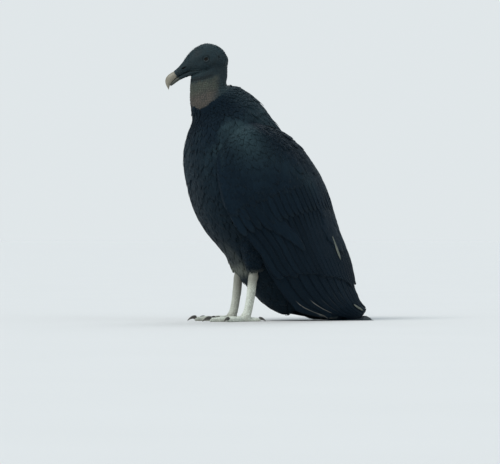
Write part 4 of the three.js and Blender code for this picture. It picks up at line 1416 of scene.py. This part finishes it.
# The two pale cold tints are the colour of painted highlight and of random mottle.
featherTints = {
    "dark": (0.0036, 0.0080, 0.0135, 1), "light": (0.0078, 0.0168, 0.0275, 1),
    "bloomDark": (0.029, 0.051, 0.060, 1), "bloomLight": (0.043, 0.076, 0.086, 1),
    "edge": (0.018, 0.026, 0.030, 1), "shaft": (0.010, 0.015, 0.018, 1), "whiteShaft": (0.55, 0.52, 0.45, 1),
    "chalk": (0.23, 0.24, 0.20, 1),
}


# Near-black vanes with a faint cold gloss: colour from dark to light by each feather's own tone and
# streaks, darker under painted shade, paler and colder under painted highlight and mottle, browner at the
# worn fringe, and a pale shaft where the feather has one.
def featherMaterial(name):
    f = featherFinishes[name]
    material, tree, shader = makeMaterial(f"feather_{name}")
    t = featherTints
    tone, pale, bloom = (attribute(tree, key) for key in ("tone", "pale", "bloom"))
    vane = placeGroup(tree, vaneGroup, {"Length": f["length"], "Shaft": f["shaft"], "Fringe": f["fringe"],
                                   "Tone": tone, "Slant": f["slant"]})
    streaks = multiply(tree, subtract(tree, vane["Barbs"], 0.5), 1.3)
    amount = add(tree, multiply(tree, tone, 0.85), streaks, clamp=True)
    colour = blendColour(tree, bloom, blendColour(tree, amount, t["dark"], t["light"]),
                         blendColour(tree, amount, t["bloomDark"], t["bloomLight"]))
    colour = blendColour(tree, multiply(tree, vane["Fringe"], 0.3), colour, t["edge"])
    stain = multiply(tree, attribute(tree, "chalk"), add(tree, vane["Barbs"], 0.3), clamp=True)
    colour = blendColour(tree, stain, colour, t["chalk"])
    shaftTint = blendColour(tree, maths(tree, "POWER", pale, 2.0), t["shaft"], t["whiteShaft"])
    colour = blendColour(tree, vane["Shaft"], colour, shaftTint)
    fill(tree, shader, {
        "Base Color": colour,
        "Roughness": add(tree, 0.42, multiply(tree, vane["Streaks"], 0.3)),
        "Normal": bumpNormal(tree, vane["Barbs"], 0.7, 0.0005),
        "Specular IOR Level": 0.08, "Specular Tint": (0.55, 0.8, 1.0, 1),
        "Sheen Weight": 0.02, "Sheen Roughness": 0.45, "Sheen Tint": (0.75, 0.87, 1.0, 1),
    })
    return material


# crease, throatCrease and legCrease are painted shade in the folds; hole is painted shade; legBrown is
# painted shade at the top of the legs; the throat tints are partly painted light.
skinTints = {
    "crease": (0.004, 0.009, 0.012, 1), "ridge": (0.018, 0.039, 0.049, 1), "brown": (0.024, 0.030, 0.030, 1),
    "throatCrease": (0.040, 0.041, 0.035, 1), "throatRidge": (0.062, 0.076, 0.060, 1),
    "throatPink": (0.094, 0.078, 0.068, 1), "lid": (0.046, 0.062, 0.070, 1),
    "hole": (0.003, 0.004, 0.004, 1),
    "legCrease": (0.42, 0.43, 0.37, 1), "legScale": (0.80, 0.84, 0.76, 1), "legDark": (0.42, 0.41, 0.35, 1),
    "legBrown": (0.20, 0.195, 0.165, 1),
}


# Bare skin: creases painted dark as shade and ridges pale, slate on the head, taupe on the throat, chalky on
# the legs, each by the piece's own attributes. The throat's pale patch is partly painted light, the tops of
# the legs get painted shade, and the openings, gape and jaw line are painted near-black as shade.
def skinMaterial():
    t = skinTints
    material, tree, shader = makeMaterial("bare_skin")
    fold = add(tree, multiply(tree, attribute(tree, "fold"), 0.5), 0.5, clamp=True)
    fine = placeGroup(tree, creaseGroup, {"Size": 1.1, "Stretch": 0.5})
    mottle = multiply(tree, subtract(tree, fine["Mottle"], 0.36), 3.2, clamp=True)
    head = blendColour(tree, fold, t["crease"], t["ridge"])
    head = blendColour(tree, multiply(tree, mottle, 0.35), head, t["brown"])
    warm = add(tree, attribute(tree, "warm"), multiply(tree, mottle, 0.25), clamp=True)
    throatRidge = blendColour(tree, warm, t["throatRidge"], t["throatPink"])
    throat = blendColour(tree, fold, t["throatCrease"], throatRidge)
    legs = blendColour(tree, fold, t["legCrease"], t["legScale"])
    legs = blendColour(tree, multiply(tree, mottle, 0.3), legs, t["legDark"])
    legs = blendColour(tree, multiply(tree, attribute(tree, "throat"), 0.8), legs, t["legBrown"])
    colour = blendColour(tree, attribute(tree, "throat"), head, throat)
    colour = blendColour(tree, attribute(tree, "leg"), colour, legs)
    colour = blendColour(tree, multiply(tree, attribute(tree, "lid"), 0.8), colour, t["lid"])
    colour = blendColour(tree, attribute(tree, "dark"), colour, t["hole"])
    fill(tree, shader, {
        "Base Color": colour,
        "Roughness": subtract(tree, 0.72, multiply(tree, fine["Mottle"], 0.2)),
        "Normal": bumpNormal(tree, fine["Height"], 0.45, 0.00025),
        "Specular IOR Level": 0.2,
    })
    return material


hornTints = {
    "dull": (0.18, 0.16, 0.125, 1), "pale": (0.30, 0.275, 0.215, 1), "tip": (0.26, 0.21, 0.17, 1),
    "base": (0.05, 0.047, 0.043, 1), "low": (0.045, 0.05, 0.04, 1),
}


# Pale ivory horn, dark where it leaves the skin, streaked lengthways; the whole lower horn is painted dark
# as shade under the upper one.
def hornMaterial():
    t = hornTints
    material, tree, shader = makeMaterial("bill_horn")
    run = attribute(tree, "run")
    objectPlace = node(tree, "TexCoord").outputs["Object"]
    scaled = node(tree, "VectorMath", {0: objectPlace, 1: (900, 350, 700)}, operation="MULTIPLY").outputs[0]
    streaks = node(tree, "TexNoise", {"Vector": scaled, "Scale": 1.0, "Detail": 4.0}).outputs[0]
    pale = blendColour(tree, streaks, t["dull"], t["pale"])
    tip = multiply(tree, subtract(tree, run, 0.8), 3.0, clamp=True)
    pale = blendColour(tree, multiply(tree, tip, 0.6), pale, t["tip"])
    base = multiply(tree, subtract(tree, 0.2, run), 6.0, clamp=True)
    colour = blendColour(tree, base, pale, t["base"])
    colour = blendColour(tree, attribute(tree, "low"), colour, t["low"])
    fill(tree, shader, {
        "Base Color": colour,
        "Roughness": add(tree, 0.36, multiply(tree, streaks, 0.25)),
        "Normal": bumpNormal(tree, streaks, 0.3, 0.0002),
    })
    return material


clawTints = {
    "dark": (0.012, 0.011, 0.010, 1), "scuffed": (0.075, 0.068, 0.058, 1), "worn": (0.15, 0.135, 0.11, 1),
}


# Dark grey-brown horn, scuffed at random and paler towards the tip.
def clawMaterial():
    t = clawTints
    material, tree, shader = makeMaterial("claw_horn")
    run = attribute(tree, "run")
    scaled = millimetres(tree)
    noise = node(tree, "TexNoise", {"Vector": scaled, "Scale": 0.7, "Detail": 5.0, "Roughness": 0.65})
    scuffs = noise.outputs[0]
    colour = blendColour(tree, scuffs, t["dark"], t["scuffed"])
    worn = multiply(tree, maths(tree, "POWER", run, 3.0), 0.5)
    colour = blendColour(tree, worn, colour, t["worn"])
    fill(tree, shader, {
        "Base Color": colour,
        "Roughness": add(tree, 0.28, multiply(tree, scuffs, 0.3)),
        "Normal": bumpNormal(tree, scuffs, 0.25, 0.0002),
    })
    return material


eyeTints = {
    "iris": (0.003, 0.0022, 0.002, 1), "ray": (0.010, 0.0065, 0.0045, 1),
    "pupil": (0.002, 0.002, 0.002, 1), "rim": (0.008, 0.007, 0.007, 1),
}


# A wet dark brown eye: black pupil, brown iris with fine rays, darker rim.
def eyeMaterial():
    t = eyeTints
    material, tree, shader = makeMaterial("eye_wet")
    ring = attribute(tree, "ring")
    scaled = millimetres(tree)
    rays = node(tree, "TexNoise", {"Vector": scaled, "Scale": 2.0, "Detail": 4.0}).outputs[0]
    iris = blendColour(tree, rays, t["iris"], t["ray"])
    pupil = multiply(tree, subtract(tree, 0.34, ring), 14.0, clamp=True)
    rim = multiply(tree, subtract(tree, ring, 0.66), 10.0, clamp=True)
    colour = blendColour(tree, pupil, iris, t["pupil"])
    colour = blendColour(tree, rim, colour, t["rim"])
    fill(tree, shader, {
        "Base Color": colour, "Roughness": 0.12, "Specular IOR Level": 0.06,
        "Coat Weight": 0.22, "Coat Roughness": 0.02,
    })
    return material


# Pale and matt, clouded by 1.5 in 100 either way.
def floorMaterial():
    material, tree, shader = makeMaterial("pale_floor")
    objectPlace = node(tree, "TexCoord").outputs["Object"]
    cloud = node(tree, "TexNoise", {"Vector": objectPlace, "Scale": 3.0, "Detail": 2.0}).outputs[0]
    floorTint = np.array(studioSettings["floor"])
    colour = blendColour(tree, cloud, *((*(floorTint * k), 1) for k in (0.985, 1.015)))
    fill(tree, shader, {"Base Color": colour, "Roughness": 0.9})
    return material


# Material and body for a piece, and the solids that it replaces. slotName is not used.
def finishPiece(piece, material, slotName, *nodes):
    piece.data.materials.append(material)
    print(f"{piece.name}: {len(piece.data.polygons)} faces of {material.name}")
    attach(piece, "root")
    if nodes:
        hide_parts(*nodes)


# A level square, 120 m wide.
def makeFloor():
    size = 60.0
    mesh = bpy.data.meshes.new("floor")
    corners = [(x * size, y * size, 0) for x, y in ((-1, -1), (1, -1), (1, 1), (-1, 1))]
    mesh.from_pydata(corners, [], [(0, 1, 2, 3)])
    floor = bpy.data.objects.new("floor", mesh)
    bpy.context.scene.collection.objects.link(floor)
    mesh.materials.append(floorMaterial())


# Every piece with its material and the solids that it replaces.
def makeBird():
    sides = ("left", "right")
    toes = [f"toe_{side}_{toe}" for side in sides for toe in toePlans]
    flesh = ["head", "lower_jaw", "neck", "trunk"]
    flesh += [f"{part}_{side}" for part in ("thigh", "shank") for side in sides] + toes
    finishPiece(makeSkin(), skinMaterial(), "head_skin", *flesh)
    finishPiece(hornPiece(), hornMaterial(), "horn", "bill_upper", "bill_lower")
    claws = [f"claw_{side}_{toe}" for side in sides for toe in toePlans]
    finishPiece(clawPiece(), clawMaterial(), "claw", *claws)
    finishPiece(eyePiece(), eyeMaterial(), "eye", "eye_left", "eye_right")
    coat, flight = (featherMaterial(name) for name in featherFinishes)
    for piece in bodyCoat() + thighCoat() + [bristleCoat()]:
        finishPiece(piece, coat, "plumage")
    tail, tailCoverts = tailCoat()
    finishPiece(tail, flight, "plumage", "tail")
    finishPiece(tailCoverts, coat, "plumage")
    for side, word in ((1, "left"), (-1, "right")):
        primaries, secondaries, greater, hand, lesser, scapulars, lining = wingCoat(side, word)
        finishPiece(primaries, flight, "plumage", f"wing_{word}_primaries")
        finishPiece(secondaries, flight, "plumage", f"wing_{word}_secondaries")
        finishPiece(lesser, coat, "plumage", f"wing_{word}_coverts")
        for piece, finish in ((greater, coat), (hand, coat), (scapulars, coat), (lining, flight)):
            finishPiece(piece, finish, "plumage")


makeFloor()
makeBird()
